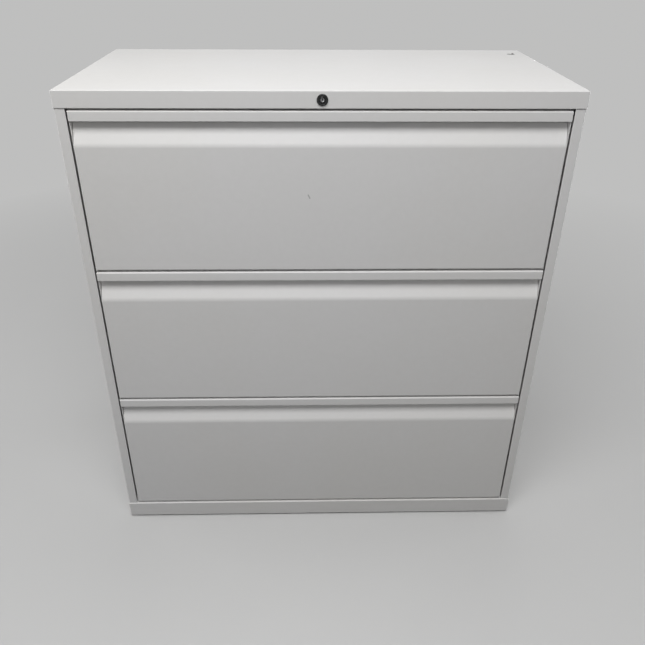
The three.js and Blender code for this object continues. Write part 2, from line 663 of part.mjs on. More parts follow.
// A strip with one finger for each drawer. The fingers rest under the catches and rise in front of them.
function lockBar() {
  const depth = [LOCK_BAR_Y, LOCK_BAR_Y + LEVER];
  const bottom = guideBottom(0) - BAR_TAIL;
  const top = LIFT_PIN[1] + PIN_RADIUS + PIN_PLAY + EYE_WALL;
  const strip = slab([BAR_IN, BAR_OUT], depth, [bottom, top]);
  const fingers = DRAWERS.map((_, index) => {
    const tip = drawerBottom(index) + CATCH_RISE - RUN;
    return slab([TRAY_HALF + FIT + LEVER + RUN, BAR_OUT], depth, [tip - FINGER_HEIGHT, tip]);
  });
  const run = [LIFT_PIN, [PIVOT_X + LIFT_ARM, LIFT_PIN[1]]];
  const through = [LOCK_BAR_Y - PLAY, LOCK_BAR_Y + LEVER + PLAY];
  return cut(join(strip, ...fingers), alongY(slot(...run), through));
}

function lockBarGuide(bottom) {
  const outer = SIDE_IN - FIT;
  const inner = BAR_IN - PLAY - GAUGE;
  const [front, back] = [LOCK_BAR_Y - PLAY - GAUGE, LOCK_BAR_Y + LEVER + PLAY + GAUGE];
  const line = [[outer, front], [inner, front], [inner, back], [outer, back]];
  const section = fold(line, -GAUGE, { radius: TIGHT_BEND, steps: COARSE_STEPS });
  return alongZ(section, [bottom, bottom + GUIDE_HEIGHT]);
}

const lockGroup = new THREE.Group();
piece(lockGroup, "lock_housing", lockHousing(), BLACK);
piece(lockGroup, "lock_nut", lockNut(), ZINC);
piece(lockGroup, "lock_plug", lockPlug(), STEEL);
piece(lockGroup, "lock_cam", lockCam(), ZINC);
piece(lockGroup, "lock_link", lockLink(), ZINC);
piece(lockGroup, "lock_bellcrank", bellcrank(), ZINC);
piece(lockGroup, "bellcrank_bracket", bellcrankBracket(), ZINC);
piece(lockGroup, "lock_bar", lockBar(), ZINC);
piece(lockGroup, "lower_lock_bar_guide", lockBarGuide(guideBottom(0)), ZINC);
piece(lockGroup, "upper_lock_bar_guide", lockBarGuide(guideBottom(DRAWERS.length - 1)), ZINC);

const cabinet = new THREE.Group();
cabinet.add(caseGroup, lockGroup);

export default cabinet;
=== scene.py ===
"""A three-drawer lateral filing cabinet: painted folded sheet steel, zinc-plated fittings, a black
cam lock and levelling feet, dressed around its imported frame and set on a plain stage."""
import math
from contextlib import contextmanager

import bmesh
import bpy
from bpy.props import FloatProperty, FloatVectorProperty, PointerProperty
from mathutils import Matrix, Vector


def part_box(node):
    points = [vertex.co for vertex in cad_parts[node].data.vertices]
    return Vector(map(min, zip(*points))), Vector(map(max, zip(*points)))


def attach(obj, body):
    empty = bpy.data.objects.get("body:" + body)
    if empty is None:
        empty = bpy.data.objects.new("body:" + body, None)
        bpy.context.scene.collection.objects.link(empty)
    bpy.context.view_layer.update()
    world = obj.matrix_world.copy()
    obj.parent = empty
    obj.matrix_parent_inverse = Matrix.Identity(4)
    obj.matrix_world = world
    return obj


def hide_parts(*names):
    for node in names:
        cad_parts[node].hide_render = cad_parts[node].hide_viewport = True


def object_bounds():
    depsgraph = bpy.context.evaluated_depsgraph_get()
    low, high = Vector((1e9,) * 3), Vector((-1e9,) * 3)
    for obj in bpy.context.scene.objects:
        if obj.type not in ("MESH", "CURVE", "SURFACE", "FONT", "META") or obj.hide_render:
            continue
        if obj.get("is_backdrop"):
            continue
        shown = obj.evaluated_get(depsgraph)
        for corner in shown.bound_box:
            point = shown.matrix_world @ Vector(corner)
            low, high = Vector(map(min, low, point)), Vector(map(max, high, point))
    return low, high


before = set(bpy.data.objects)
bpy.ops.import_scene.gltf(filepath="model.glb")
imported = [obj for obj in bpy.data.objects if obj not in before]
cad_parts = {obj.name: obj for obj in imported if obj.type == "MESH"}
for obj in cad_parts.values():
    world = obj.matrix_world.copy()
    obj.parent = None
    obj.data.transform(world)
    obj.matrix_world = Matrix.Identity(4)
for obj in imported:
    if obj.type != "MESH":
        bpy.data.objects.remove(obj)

bl_info = {
    "name": "Lateral Filing Cabinet",
    "version": (1, 0, 0),
    "blender": (4, 5, 0),
    "location": "View3D > Sidebar > Cabinet",
    "description": "Models the finished pieces of a three-drawer lateral filing cabinet",
    "category": "Add Mesh",
}

CAD_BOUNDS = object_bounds()
DRAWERS = ("bottom", "middle", "top")
SIDES = (("left", -1), ("right", 1))
FEET = ("front_left", "front_right", "rear_left", "rear_right")
FOLD_SEGMENTS = 6
ROUND_SIDES = 48
SMALL_SIDES = 20
NEARLY_ZERO = 0.0001  # Radius at which a turned profile closes on its axis
FOLD_ROOM = 1.2  # Room for a fold, in its own radius or in the gauge
CREASE_SHARE = 0.98  # Keeps the crease's bevel short of the edge below it
BACK_SCREWS = 6  # On each side of the back
SLIDE_SCREW_REACHES = (0.035, 0.16, 0.285, 0.375)  # From the front end of a drawer member
LINER_SCREW_RISES = (0.06, 0.18)  # From the bottom of a tray
SMOOTH_ANGLE = math.radians(32)
FLAT_ANGLE = math.radians(1)
MERGE_DISTANCE = 1e-5
PLACE_TOLERANCE = 1e-4
X_AXIS, Y_AXIS, Z_AXIS = Vector((1, 0, 0)), Vector((0, 1, 0)), Vector((0, 0, 1))

# Marks on the paint: a chip in two strokes from one point of the top, and a scuff on the top drawer.
# Their places are from the middle of the top's front edge and of the front's lower edge.
CHIP_PLACE = Vector((0.4295, 0.3965, 0))
CHIP_STROKES = ((Vector((0.004, 0.016, 0)), 0.0020), (Vector((-0.0075, 0.002, 0)), 0.0046))
CHIP_STRENGTH = 0.95
SCUFF_START, SCUFF_END = Vector((-0.0250, 0, 0.1517)), Vector((-0.0220, 0, 0.1455))
SCUFF_WIDTH = 0.0011
SCUFF_STRENGTH = 0.4


# Sizes, finishes and stage that a user can change

def length_setting(label, description, default):
    """A length in metres."""
    return FloatProperty(
        name=label, description=description, default=default, min=0, unit="LENGTH", precision=5
    )


def colour_setting(label, description, default):
    """A linear colour."""
    return FloatVectorProperty(
        name=label, description=description, default=default, size=3, min=0, max=1, subtype="COLOR"
    )


def power_setting(label, description, default):
    """A lamp's power in watts."""
    return FloatProperty(name=label, description=description, default=default, min=0, unit="POWER")


def place_setting(label, description, default):
    """A place in metres."""
    return FloatVectorProperty(
        name=label, description=description, default=default, subtype="XYZ", unit="LENGTH", precision=5
    )


def sides_setting(label, description, default):
    """Two sides of a rectangle in metres."""
    return FloatVectorProperty(
        name=label, description=description, default=default, size=2, min=0, unit="LENGTH"
    )


class CabinetSizes(bpy.types.PropertyGroup):
    """Sizes of the folded sheet and of the small details."""

    gauge: length_setting("Sheet gauge", "Thickness of the painted sheet", 0.001)
    fold: length_setting("Fold radius", "Outside radius of a fold in the drawers and the back", 0.003)
    case_fold: length_setting("Case radius", "Outside radius of a fold in the case", 0.0014)
    nose: length_setting("Nose depth", "Depth of the hemmed nose on the inner edge of a stile", 0.0024)
    nose_step: length_setting("Nose step", "How far the return behind the nose is set back", 0.006)
    hem_fold: length_setting("Hem radius", "Inside radius of the hem under the grip strip", 0.0006)
    end_fold: length_setting("End radius", "Outside radius of the ends of a drawer front", 0.0025)
    skirt_lip: length_setting("Skirt lip", "Width of the lip turned in under the top and the base", 0.012)
    stile_inset: length_setting("Stile inset", "Width of a stile to its inner edge", 0.0182)
    link_gap: length_setting("Link gap", "Room between a stile and the lock link behind it", 0.0004)
    rear_lip: length_setting("Rear lip", "Width of the lip at the rear of a side", 0.02)
    lock_hole: length_setting("Lock hole", "Radius of the hole for the lock in the top", 0.0083)
    foot_hole: length_setting("Foot hole", "Radius of the holes over the feet in the base", 0.008)
    grip_height: length_setting("Grip height", "Height of the grip strip of a drawer front", 0.019)
    recess_drop: length_setting("Recess drop", "From the top of a drawer front to its crease", 0.06)
    crease_fold: length_setting("Crease radius", "Outside radius of the crease under the recess", 0.021)
    hem_depth: length_setting("Hem depth", "Depth of the edge rolled under the grip strip", 0.0042)
    hem_rise: length_setting("Hem rise", "Height of the edge rolled under the grip strip", 0.01)
    end_gap: length_setting("End gap", "Gap between the slope of a recess and its end plates", 0.0007)
    broken_edge: length_setting("Broken edge", "Width of the bevel on cut metal edges", 0.0002)
    cast_edge: length_setting("Cast edge", "Width of the bevel on the counterweight", 0.0008)
    screw_radius: length_setting("Screw head", "Radius of a screw head", 0.0042)
    screw_height: length_setting("Screw height", "Height of a screw head", 0.0013)
    screw_margin: length_setting("Screw margin", "From the ends of the back to its outer screws", 0.05)
    screw_inset: length_setting("Screw inset", "From a lip's edge to the screws in it", 0.01)
    slide_gauge: length_setting("Slide gauge", "Thickness of the slides' sheet", 0.0012)
    cage_length: length_setting("Cage length", "Length of a ball cage", 0.15)
    cage_width: length_setting("Cage width", "Width of a ball cage", 0.0032)
    cage_gauge: length_setting("Cage gauge", "Thickness of a ball cage", 0.0008)
    cage_inset: length_setting("Cage inset", "From the slide's front end to the ball cage", 0.0015)
    cage_shift: length_setting("Cage shift", "From the inner member's middle out to the cage", 0.001)
    ball_radius: length_setting("Ball radius", "Radius of a ball in the slides", 0.0011)
    ball_pitch: length_setting("Ball pitch", "Distance between the balls of a slide", 0.012)
    keyway_width: length_setting("Keyway width", "Width of the keyway in the lock's plug", 0.0014)
    keyway_height: length_setting("Keyway height", "Height of the keyway in the lock's plug", 0.007)
    keyway_depth: length_setting("Keyway depth", "Depth of the keyway from the plug's face", 0.006)
    tail_width: length_setting("Tail width", "Side of the square tail on the lock's plug", 0.006)
    tail_overlap: length_setting("Tail overlap", "How far the tail starts inside the plug", 0.002)
    thread_pitch: length_setting("Thread pitch", "Pitch of the thread on a levelling foot", 0.0015)


class CabinetColours(bpy.types.PropertyGroup):
    """Colours of the finishes."""

    paint: colour_setting("Paint", "White powder coat", (0.80, 0.794, 0.790))
    paint_aged: colour_setting("Aged paint", "Powder coat where it has yellowed", (0.785, 0.775, 0.757))
    dust: colour_setting("Dust", "Dust on faces that look up", (0.62, 0.59, 0.55))
    chip: colour_setting("Chip", "Bare primer and steel in a chip or scuff", (0.05, 0.045, 0.04))
    zinc: colour_setting("Zinc", "Zinc plate", (0.62, 0.63, 0.64))
    zinc_dull: colour_setting("Dull zinc", "Zinc plate where it has dulled", (0.54, 0.55, 0.56))
    slide: colour_setting("Slide", "Bright steel of the slides", (0.66, 0.67, 0.68))
    slide_grease: colour_setting("Slide grease", "Greased streaks on the slides", (0.54, 0.54, 0.54))
    black: colour_setting("Black", "Coating of the lock housing", (0.006, 0.006, 0.007))
    black_worn: colour_setting("Worn black", "Lock coating where keys rub it", (0.022, 0.022, 0.023))
    plug: colour_setting("Plug", "Steel round the keyway", (0.30, 0.30, 0.31))
    plug_worn: colour_setting("Worn plug", "Steel where keys scratch it", (0.42, 0.42, 0.42))
    nylon: colour_setting("Nylon", "Pads of the feet", (0.016, 0.016, 0.018))
    iron: colour_setting("Iron", "Counterweight", (0.09, 0.09, 0.095))
    iron_rust: colour_setting("Rust", "Rust on the counterweight", (0.11, 0.05, 0.025))


class CabinetStage(bpy.types.PropertyGroup):
    """Floor, light and camera."""

    floor: colour_setting("Floor", "Pale floor", (0.60, 0.60, 0.597))
    floor_bounce: colour_setting("Floor bounce", "Light that the floor returns", (0.03, 0.03, 0.03))
    distance: colour_setting("Distance", "Pale tone of the sky and of the floor far off", (0.52, 0.52, 0.517))
    fade_start: length_setting("Fade start", "Where the floor starts to fade into the distance", 0.7)
    fade_end: length_setting("Fade end", "Where the floor has faded into the distance", 2.6)
    floor_size: length_setting("Floor size", "Length of the floor's edge", 60)
    sky: FloatProperty(name="Sky", description="Strength of the light all round", default=0.18, min=0)
    main_power: power_setting("Main power", "Power of the main lamp, overhead and in front", 47)
    main_place: place_setting("Main place", "Middle of the main lamp", (-0.35, -1.35, 2.7))
    main_size: sides_setting("Main size", "Width and depth of the main lamp", (1.8, 1.2))
    rear_power: power_setting("Rear power", "Power of the lamp overhead and behind", 10)
    rear_place: place_setting("Rear place", "Middle of the rear lamp", (0.2, 0.45, 2.7))
    rear_size: sides_setting("Rear size", "Width and depth of the rear lamp", (2.0, 1.0))
    fill_power: power_setting("Fill power", "Power of the lamp in front", 18)
    fill_place: place_setting("Fill place", "Middle of the lamp in front", (0, -4.0, 2.0))
    fill_size: sides_setting("Fill size", "Width and height of the lamp in front", (2.4, 0.9))
    back_power: power_setting("Back power", "Power of the lamp behind", 44)
    back_place: place_setting("Back place", "Middle of the lamp behind", (0.6, 3.6, 0.5))
    back_size: sides_setting("Back size", "Width and height of the lamp behind", (2.4, 0.8))
    side_power: power_setting("Side power", "Power of each lamp beside the cabinet", 34)
    side_place: place_setting("Side place", "Middle of the lamp on the right", (3.2, 0.35, 0.5))
    side_size: sides_setting("Side size", "Width and height of each lamp beside the cabinet", (2.0, 0.8))
    eye: place_setting("Eye", "Place of the camera", (-0.02692, -1.39209, 1.22399))
    pitch: FloatProperty(
        name="Pitch", description="Tilt below level", default=math.radians(30.3745), subtype="ANGLE"
    )
    yaw: FloatProperty(
        name="Yaw", description="Turn to the left", default=math.radians(-1.462), subtype="ANGLE"
    )
    roll: FloatProperty(name="Roll", description="Roll", default=math.radians(0.4101), subtype="ANGLE")
    sensor: FloatProperty(name="Sensor", description="Sensor width in millimetres", default=36, min=1)
    lens: FloatProperty(name="Lens", description="Focal length in millimetres", default=37.132, min=1)


# Modelling helpers

def alone(obj):
    """Make an object the only one selected, and the active one."""
    bpy.ops.object.select_all(action="DESELECT")
    obj.select_set(True)
    bpy.context.view_layer.objects.active = obj


@contextmanager
def editing(obj):
    """Edit mode on one object, with nothing selected."""
    alone(obj)
    bpy.ops.object.mode_set(mode="EDIT")
    bpy.ops.mesh.select_all(action="DESELECT")
    yield
    bpy.ops.object.mode_set(mode="OBJECT")


def middle(item):
    """Middle of a vertex, an edge or a face."""
    if isinstance(item, bmesh.types.BMVert):
        return item.co
    return sum((vertex.co for vertex in item.verts), Vector()) / len(item.verts)


def choose(obj, kind, test):
    """In edit mode, select only the vertices, edges or faces whose middle passes a test."""
    bpy.ops.mesh.select_mode(type=kind)
    bpy.ops.mesh.select_all(action="DESELECT")
    mesh = bmesh.from_edit_mesh(obj.data)
    items = {"VERT": mesh.verts, "EDGE": mesh.edges, "FACE": mesh.faces}[kind]
    found = [item for item in items if test(middle(item))]
    if not found:
        raise RuntimeError(f"{obj.name} has nothing to select there")
    for item in found:
        item.select_set(True)
    bmesh.update_edit_mesh(obj.data)


def near(first, second):
    """Whether two lengths are the same."""
    return abs(first - second) < PLACE_TOLERANCE


def at(place):
    """A test for a middle at one place."""
    return lambda point: (point - place).length < PLACE_TOLERANCE


def started(name):
    """Name the primitive that was just added and put its place in its mesh."""
    obj = bpy.context.active_object
    obj.name = obj.data.name = name
    bpy.ops.object.transform_apply(location=True, rotation=True, scale=True)
    return obj


def block(name, low, high):
    """A block between two corners."""
    low, high = Vector(low), Vector(high)
    bpy.ops.object.select_all(action="DESELECT")
    bpy.ops.mesh.primitive_cube_add(size=1, location=(low + high) / 2)
    bpy.context.active_object.scale = high - low
    return started(name)


def flange(name, start, end, span):
    """A flat sheet about the line from start to end. It faces along span cross line."""
    bpy.ops.object.select_all(action="DESELECT")
    bpy.ops.mesh.primitive_plane_add(size=1)
    line = end - start
    turned_plane = Matrix((span, line, span.cross(line).normalized())).transposed().to_4x4()
    turned_plane.translation = (start + end) / 2
    bpy.context.active_object.matrix_world = turned_plane
    return started(name)


def extrude(step):
    """Extrude the selected edges by one step."""
    bpy.ops.mesh.extrude_edges_move(TRANSFORM_OT_translate={"value": step})


def extrude_along(points):
    """Extrude the selected edges from the first point to each of the next."""
    for start, end in zip(points, points[1:]):
        extrude(end - start)


def round_fold(obj, before, point, after, radius):
    """Round the fold whose edge has its middle at a point."""
    turn = (point - before).angle(after - point)
    choose(obj, "EDGE", at(point))
    bpy.ops.mesh.bevel(
        offset=radius * math.tan(turn / 2), offset_type="OFFSET", segments=FOLD_SEGMENTS, affect="EDGES"
    )


def round_folds(obj, points, radii):
    """Round the folds between the first point and the last."""
    for before, point, after, radius in zip(points, points[1:], points[2:], radii):
        round_fold(obj, before, point, after, radius)


def apply_modifier(obj, kind, **settings):
    """Add a modifier and apply it."""
    alone(obj)
    modifier = obj.modifiers.new(kind.title(), kind)
    for name, value in settings.items():
        setattr(modifier, name, value)
    bpy.ops.object.modifier_apply(modifier=modifier.name)


def give_gauge(obj, gauge):
    """Thicken a surface behind its faces."""
    apply_modifier(obj, "SOLIDIFY", thickness=gauge, offset=-1, use_even_offset=True)


def folded_sheet(name, points, span, radii, gauge):
    """A sheet folded along a line of points. It lies behind the face of the first flange."""
    obj = flange(name, points[0], points[1], span)
    with editing(obj):
        choose(obj, "EDGE", at(points[1]))
        extrude_along(points[1:])
        round_folds(obj, points, radii)
    give_gauge(obj, gauge)
    return obj


def join(name, *pieces):
    """Join objects into the first one."""
    bpy.ops.object.select_all(action="DESELECT")
    for piece in pieces:
        piece.select_set(True)
    bpy.context.view_layer.objects.active = pieces[0]
    if len(pieces) > 1:
        bpy.ops.object.join()
    pieces[0].name = pieces[0].data.name = name
    return pieces[0]


def copied(obj, name, shift):
    """A copy with its own mesh, moved along."""
    alone(obj)
    bpy.ops.object.duplicate(linked=False)
    bpy.context.active_object.location = shift
    return started(name)


def mirrored(obj, name):
    """A copy with its own mesh, on the other side of the middle."""
    alone(obj)
    bpy.ops.object.duplicate(linked=False)
    bpy.context.active_object.scale = (-1, 1, 1)
    copy = started(name)
    with editing(copy):
        bpy.ops.mesh.select_all(action="SELECT")
        bpy.ops.mesh.normals_make_consistent(inside=False)
    return copy


def middle_of(low, high):
    """Middle of a box."""
    return (low + high) / 2


def cut(obj, cutter):
    """Cut one object out of another and delete the cutter."""
    apply_modifier(obj, "BOOLEAN", operation="DIFFERENCE", solver="EXACT", object=cutter)
    bpy.data.objects.remove(cutter)


def turned(name, profile, place, axis, sides):
    """Extrude a circle ring by ring, as on a lathe. The profile holds radii and heights on the axis."""
    radius, height = profile[0]
    hollow = profile[0] == profile[-1]
    bpy.ops.object.select_all(action="DESELECT")
    bpy.ops.mesh.primitive_circle_add(
        vertices=sides,
        radius=radius,
        fill_type="NOTHING" if hollow else "NGON",
        location=(0, 0, height),
    )
    obj = started(name)
    with editing(obj):
        bpy.ops.mesh.select_all(action="SELECT")
        for new_radius, new_height in profile[1:]:
            bpy.ops.mesh.extrude_region_move(
                TRANSFORM_OT_translate={"value": (0, 0, new_height - height)}
            )
            scale = new_radius / radius
            bpy.ops.transform.resize(value=(scale, scale, 1), center_override=(0, 0, new_height))
            radius, height = new_radius, new_height
        bpy.ops.mesh.select_all(action="SELECT")
        bpy.ops.mesh.remove_doubles(threshold=MERGE_DISTANCE)
        bpy.ops.mesh.normals_make_consistent(inside=False)
    obj.matrix_world = Matrix.Translation(place) @ Z_AXIS.rotation_difference(axis).to_matrix().to_4x4()
    alone(obj)
    return started(name)


def refined_copy(node, broken_edge):
    """A merged copy of a CAD node, with whole flat faces and broken edges."""
    obj = bpy.data.objects.new(f"{node}_finished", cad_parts[node].data.copy())
    obj.data.name = obj.name
    bpy.context.scene.collection.objects.link(obj)
    with editing(obj):
        bpy.ops.mesh.select_all(action="SELECT")
        bpy.ops.mesh.customdata_custom_splitnormals_clear()
        bpy.ops.mesh.remove_doubles(threshold=MERGE_DISTANCE)
        bpy.ops.mesh.dissolve_limited(angle_limit=FLAT_ANGLE)
    apply_modifier(
        obj, "BEVEL", width=broken_edge, segments=2, limit_method="ANGLE", angle_limit=SMOOTH_ANGLE
    )
    return obj


def dress(obj, finish, body, *nodes):
    """Smooth a finished piece, paint it, and fix it to the frame in place of the CAD nodes."""
    alone(obj)
    bpy.ops.object.shade_smooth_by_angle(angle=SMOOTH_ANGLE)
    apply_modifier(obj, "WEIGHTED_NORMAL", keep_sharp=True)
    obj.data.materials.clear()
    obj.data.materials.append(finishes()[finish])
    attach(obj, body)
    if nodes:
        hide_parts(*nodes)
    return obj


def dress_nodes(bodies, finish, broken_edge):
    """Dress refined copies of CAD nodes, given with the bodies they are fixed to."""
    for node, body in bodies.items():
        dress(refined_copy(node, broken_edge), finish, body, node)


def paint_faces(obj, finish, test):
    """Give a second finish to the faces whose middle passes a test."""
    obj.data.materials.append(finishes()[finish])
    with editing(obj):
        choose(obj, "FACE", test)
        obj.active_material_index = len(obj.data.materials) - 1
        bpy.ops.object.material_slot_assign()


# Shader helpers

def add_node(tree, kind, inputs=None, **settings):
    """Add a node, set its properties and fill its inputs with values or sockets."""
    made = tree.nodes.new(f"ShaderNode{kind}")
    for name, value in settings.items():
        setattr(made, name, value)
    for key, value in (inputs or {}).items():
        if isinstance(value, bpy.types.NodeSocket):
            tree.links.new(value, made.inputs[key])
        else:
            made.inputs[key].default_value = value
    return made


def opaque(rgb):
    """A colour with full alpha."""
    return (*rgb, 1)


def calculate(tree, operation, first, second=0.0):
    """A Math node's result."""
    return add_node(tree, "Math", {0: first, 1: second}, operation=operation).outputs[0]


def product(tree, first, *others):
    """Values multiplied one after another."""
    for other in others:
        first = calculate(tree, "MULTIPLY", first, other)
    return first


def vector_maths(tree, operation, first, second):
    """A Vector Math node's outputs."""
    return add_node(tree, "VectorMath", {0: first, 1: second}, operation=operation).outputs


def remap(tree, value, old, new=(0.0, 1.0)):
    """A value moved from one range to another and kept in it."""
    inputs = {"Value": value, "From Min": old[0], "From Max": old[1], "To Min": new[0], "To Max": new[1]}
    return add_node(tree, "MapRange", inputs).outputs[0]


def mix(tree, share, first, second, mode="MIX"):
    """Two colours mixed by a share."""
    made = add_node(tree, "Mix", {0: share, 6: first, 7: second}, data_type="RGBA", blend_type=mode)
    return made.outputs[2]


def noise(tree, vector, scale, detail=2.0, roughness=0.5):
    """A noise pattern's value."""
    inputs = {"Vector": vector, "Scale": scale, "Detail": detail, "Roughness": roughness}
    return add_node(tree, "TexNoise", inputs).outputs[0]


def object_place(tree):
    """Object coordinates."""
    return add_node(tree, "TexCoord").outputs["Object"]


def new_group(name, inputs, outputs):
    """A node group with its sockets, and its input and output nodes."""
    group = bpy.data.node_groups.new(name, "ShaderNodeTree")
    for label, value in inputs.items():
        kind = "Float" if isinstance(value, float) else {3: "Vector", 4: "Color"}[len(value)]
        made = group.interface.new_socket(label, in_out="INPUT", socket_type=f"NodeSocket{kind}")
        made.default_value = value
    for label in outputs:
        kind = "Color" if label == "Colour" else "Float"
        group.interface.new_socket(label, in_out="OUTPUT", socket_type=f"NodeSocket{kind}")
    entry = group.nodes.new("NodeGroupInput").outputs
    return group, entry, group.nodes.new("NodeGroupOutput").inputs


def powder_coat_group():
    """Powder coat: orange peel, faint yellowing and uneven gloss."""
    group, given, result = new_group(
        "Powder Coat",
        {
            "Colour": (0.8, 0.8, 0.8, 1),
            "Aged Colour": (0.8, 0.8, 0.75, 1),
            "Peel Scale": 700.0,
            "Gloss Low": 0.40,
            "Gloss High": 0.52,
        },
        ("Colour", "Roughness", "Height"),
    )
    place = object_place(group)
    ageing = remap(group, noise(group, place, 1.7, 4.0, 0.6), (0.38, 0.66))
    tone = mix(group, ageing, given["Colour"], given["Aged Colour"])
    speckle = remap(group, noise(group, place, 90.0, 2.0), (0.3, 0.7), (0.985, 1.0))
    group.links.new(mix(group, 1.0, tone, speckle, "MULTIPLY"), result["Colour"])
    uneven = noise(group, place, 9.0, 5.0, 0.65)
    gloss = remap(group, uneven, (0.3, 0.7), (given["Gloss Low"], given["Gloss High"]))
    group.links.new(gloss, result["Roughness"])
    peel = noise(group, place, given["Peel Scale"], 1.5, 0.4)
    group.links.new(peel, result["Height"])
    return group


def dust_group():
    """Dust on faces that look up."""
    group, given, result = new_group("Dust", {"Amount": 0.1, "Scale": 6.0}, ["Mask"])
    normal = add_node(group, "NewGeometry").outputs["Normal"]
    height = add_node(group, "SeparateXYZ", {0: normal}).outputs["Z"]
    facing = remap(group, height, (0.5, 0.95))
    place = object_place(group)
    broad = noise(group, place, given["Scale"], 6.0, 0.7)
    drift = remap(group, broad, (0.35, 0.75), (0.2, 1.0))
    fine = remap(group, noise(group, place, 420.0, 2.0), (0.45, 0.75), (0.5, 1.0))
    group.links.new(product(group, drift, fine, facing, given["Amount"]), result["Mask"])
    return group


def scratch_group():
    """Sparse thin scratches, long along one axis."""
    group, given, result = new_group(
        "Scratches", {"Stretch": (40.0, 40.0, 900.0), "Amount": 0.5}, ["Mask"]
    )
    place = object_place(group)
    wavy = vector_maths(group, "MULTIPLY", place, given["Stretch"])[0]
    lines = remap(group, noise(group, wavy, 1.0, 1.0, 0.3), (0.71, 0.75))
    patches = remap(group, noise(group, place, 7.0, 2.0), (0.56, 0.64))
    group.links.new(product(group, lines, patches, given["Amount"]), result["Mask"])
    return group


def edge_wear_group():
    """Rubbed edges, broken up by noise."""
    group, given, result = new_group(
        "Edge Wear", {"Reach": 0.0012, "Amount": 0.5, "Breakup": 60.0}, ["Mask"]
    )
    rounded = add_node(group, "Bevel", {"Radius": given["Reach"]}, samples=4).outputs[0]
    plain = add_node(group, "NewGeometry").outputs["Normal"]
    agreement = vector_maths(group, "DOT_PRODUCT", rounded, plain)["Value"]
    edge = remap(group, agreement, (0.995, 0.90))
    patches = noise(group, object_place(group), given["Breakup"], 4.0)
    broken = remap(group, patches, (0.5, 0.62))
    group.links.new(product(group, edge, broken, given["Amount"]), result["Mask"])
    return group


def mark_group():
    """A ragged mark along a straight line between two points."""
    group, given, result = new_group(
        "Mark",
        {"Start": (0.0, 0.0, 0.0), "End": (0.0, 0.0, 0.01), "Width": 0.001, "Ragged": 0.001},
        ["Mask"],
    )
    place = object_place(group)
    reach = vector_maths(group, "SUBTRACT", place, given["Start"])[0]
    line = vector_maths(group, "SUBTRACT", given["End"], given["Start"])[0]
    along = vector_maths(group, "DOT_PRODUCT", reach, line)["Value"]
    whole = vector_maths(group, "DOT_PRODUCT", line, line)["Value"]
    share = remap(group, calculate(group, "DIVIDE", along, whole), (0.0, 1.0))
    foot = add_node(group, "VectorMath", {0: line, "Scale": share}, operation="SCALE").outputs[0]
    gap = vector_maths(group, "DISTANCE", reach, foot)["Value"]
    rough = calculate(group, "SUBTRACT", noise(group, place, 700.0, 3.0), 0.5)
    gap = calculate(group, "ADD", gap, product(group, rough, given["Ragged"]))
    inside = calculate(group, "SUBTRACT", given["Width"], gap)
    mask = remap(group, calculate(group, "DIVIDE", inside, given["Width"]), (-0.3, 0.3))
    group.links.new(mask, result["Mask"])
    return group


def plate_group():
    """Plated metal: clouded tone, rolled grain and uneven gloss."""
    group, given, result = new_group(
        "Plated Metal",
        {
            "Bright": (0.6, 0.6, 0.6, 1),
            "Dull": (0.4, 0.4, 0.4, 1),
            "Grain": (900.0, 30.0, 900.0),
            "Gloss Low": 0.25,
            "Gloss High": 0.45,
        },
        ("Colour", "Roughness", "Height"),
    )
    place = object_place(group)
    cloud = remap(group, noise(group, place, 22.0, 5.0, 0.65), (0.3, 0.72), (0.0, 0.6))
    group.links.new(mix(group, cloud, given["Bright"], given["Dull"]), result["Colour"])
    rolled = vector_maths(group, "MULTIPLY", place, given["Grain"])[0]
    grain = noise(group, rolled, 1.0, 2.0)
    uneven = product(group, calculate(group, "ADD", cloud, grain), 0.5)
    gloss = remap(group, uneven, (0.2, 0.8), (given["Gloss Low"], given["Gloss High"]))
    group.links.new(gloss, result["Roughness"])
    group.links.new(grain, result["Height"])
    return group


GROUP_MAKERS = {
    "Powder Coat": powder_coat_group,
    "Dust": dust_group,
    "Scratches": scratch_group,
    "Edge Wear": edge_wear_group,
    "Mark": mark_group,
    "Plated Metal": plate_group,
}


def place_group(tree, name, inputs):
    """A node that holds one of the shared groups, made when it is first needed."""
    group = bpy.data.node_groups.get(name) or GROUP_MAKERS[name]()
    return add_node(tree, "Group", inputs, node_tree=group).outputs


def new_material(name):
    """An empty material's tree and its Principled shader."""
    material = bpy.data.materials.new(name)
    material.use_nodes = True
    return material, material.node_tree, material.node_tree.nodes["Principled BSDF"].inputs


def bumped(tree, height, strength, distance):
    """A normal bumped by a height."""
    inputs = {"Height": height, "Strength": strength, "Distance": distance}
    return add_node(tree, "Bump", inputs).outputs[0]


def paint_finish(name, colours, dust=0.0, marks=()):
    """White powder coat with dust, worn edges, scratches and the marks that one piece carries."""
    material, tree, shader = new_material(name)
    coat = place_group(
        tree,
        "Powder Coat",
        {"Colour": opaque(colours.paint), "Aged Colour": opaque(colours.paint_aged)},
    )
    tone = coat["Colour"]
    if dust:
        cover = place_group(tree, "Dust", {"Amount": dust})
        tone = mix(tree, cover["Mask"], tone, opaque(colours.dust))
    scratch = place_group(tree, "Scratches", {"Amount": 0.12})
    tone = mix(tree, scratch["Mask"], tone, opaque(colours.dust))
    wear = place_group(tree, "Edge Wear", {"Amount": 0.10})
    tone = mix(tree, wear["Mask"], tone, opaque(colours.chip))
    for start, end, width, strength in marks:
        mark = place_group(tree, "Mark", {"Start": start, "End": end, "Width": width, "Ragged": width})
        share = product(tree, mark["Mask"], strength)
        tone = mix(tree, share, tone, opaque(colours.chip))
    tree.links.new(tone, shader["Base Color"])
    tree.links.new(coat["Roughness"], shader["Roughness"])
    tree.links.new(bumped(tree, coat["Height"], 0.22, 0.0002), shader["Normal"])
    return material


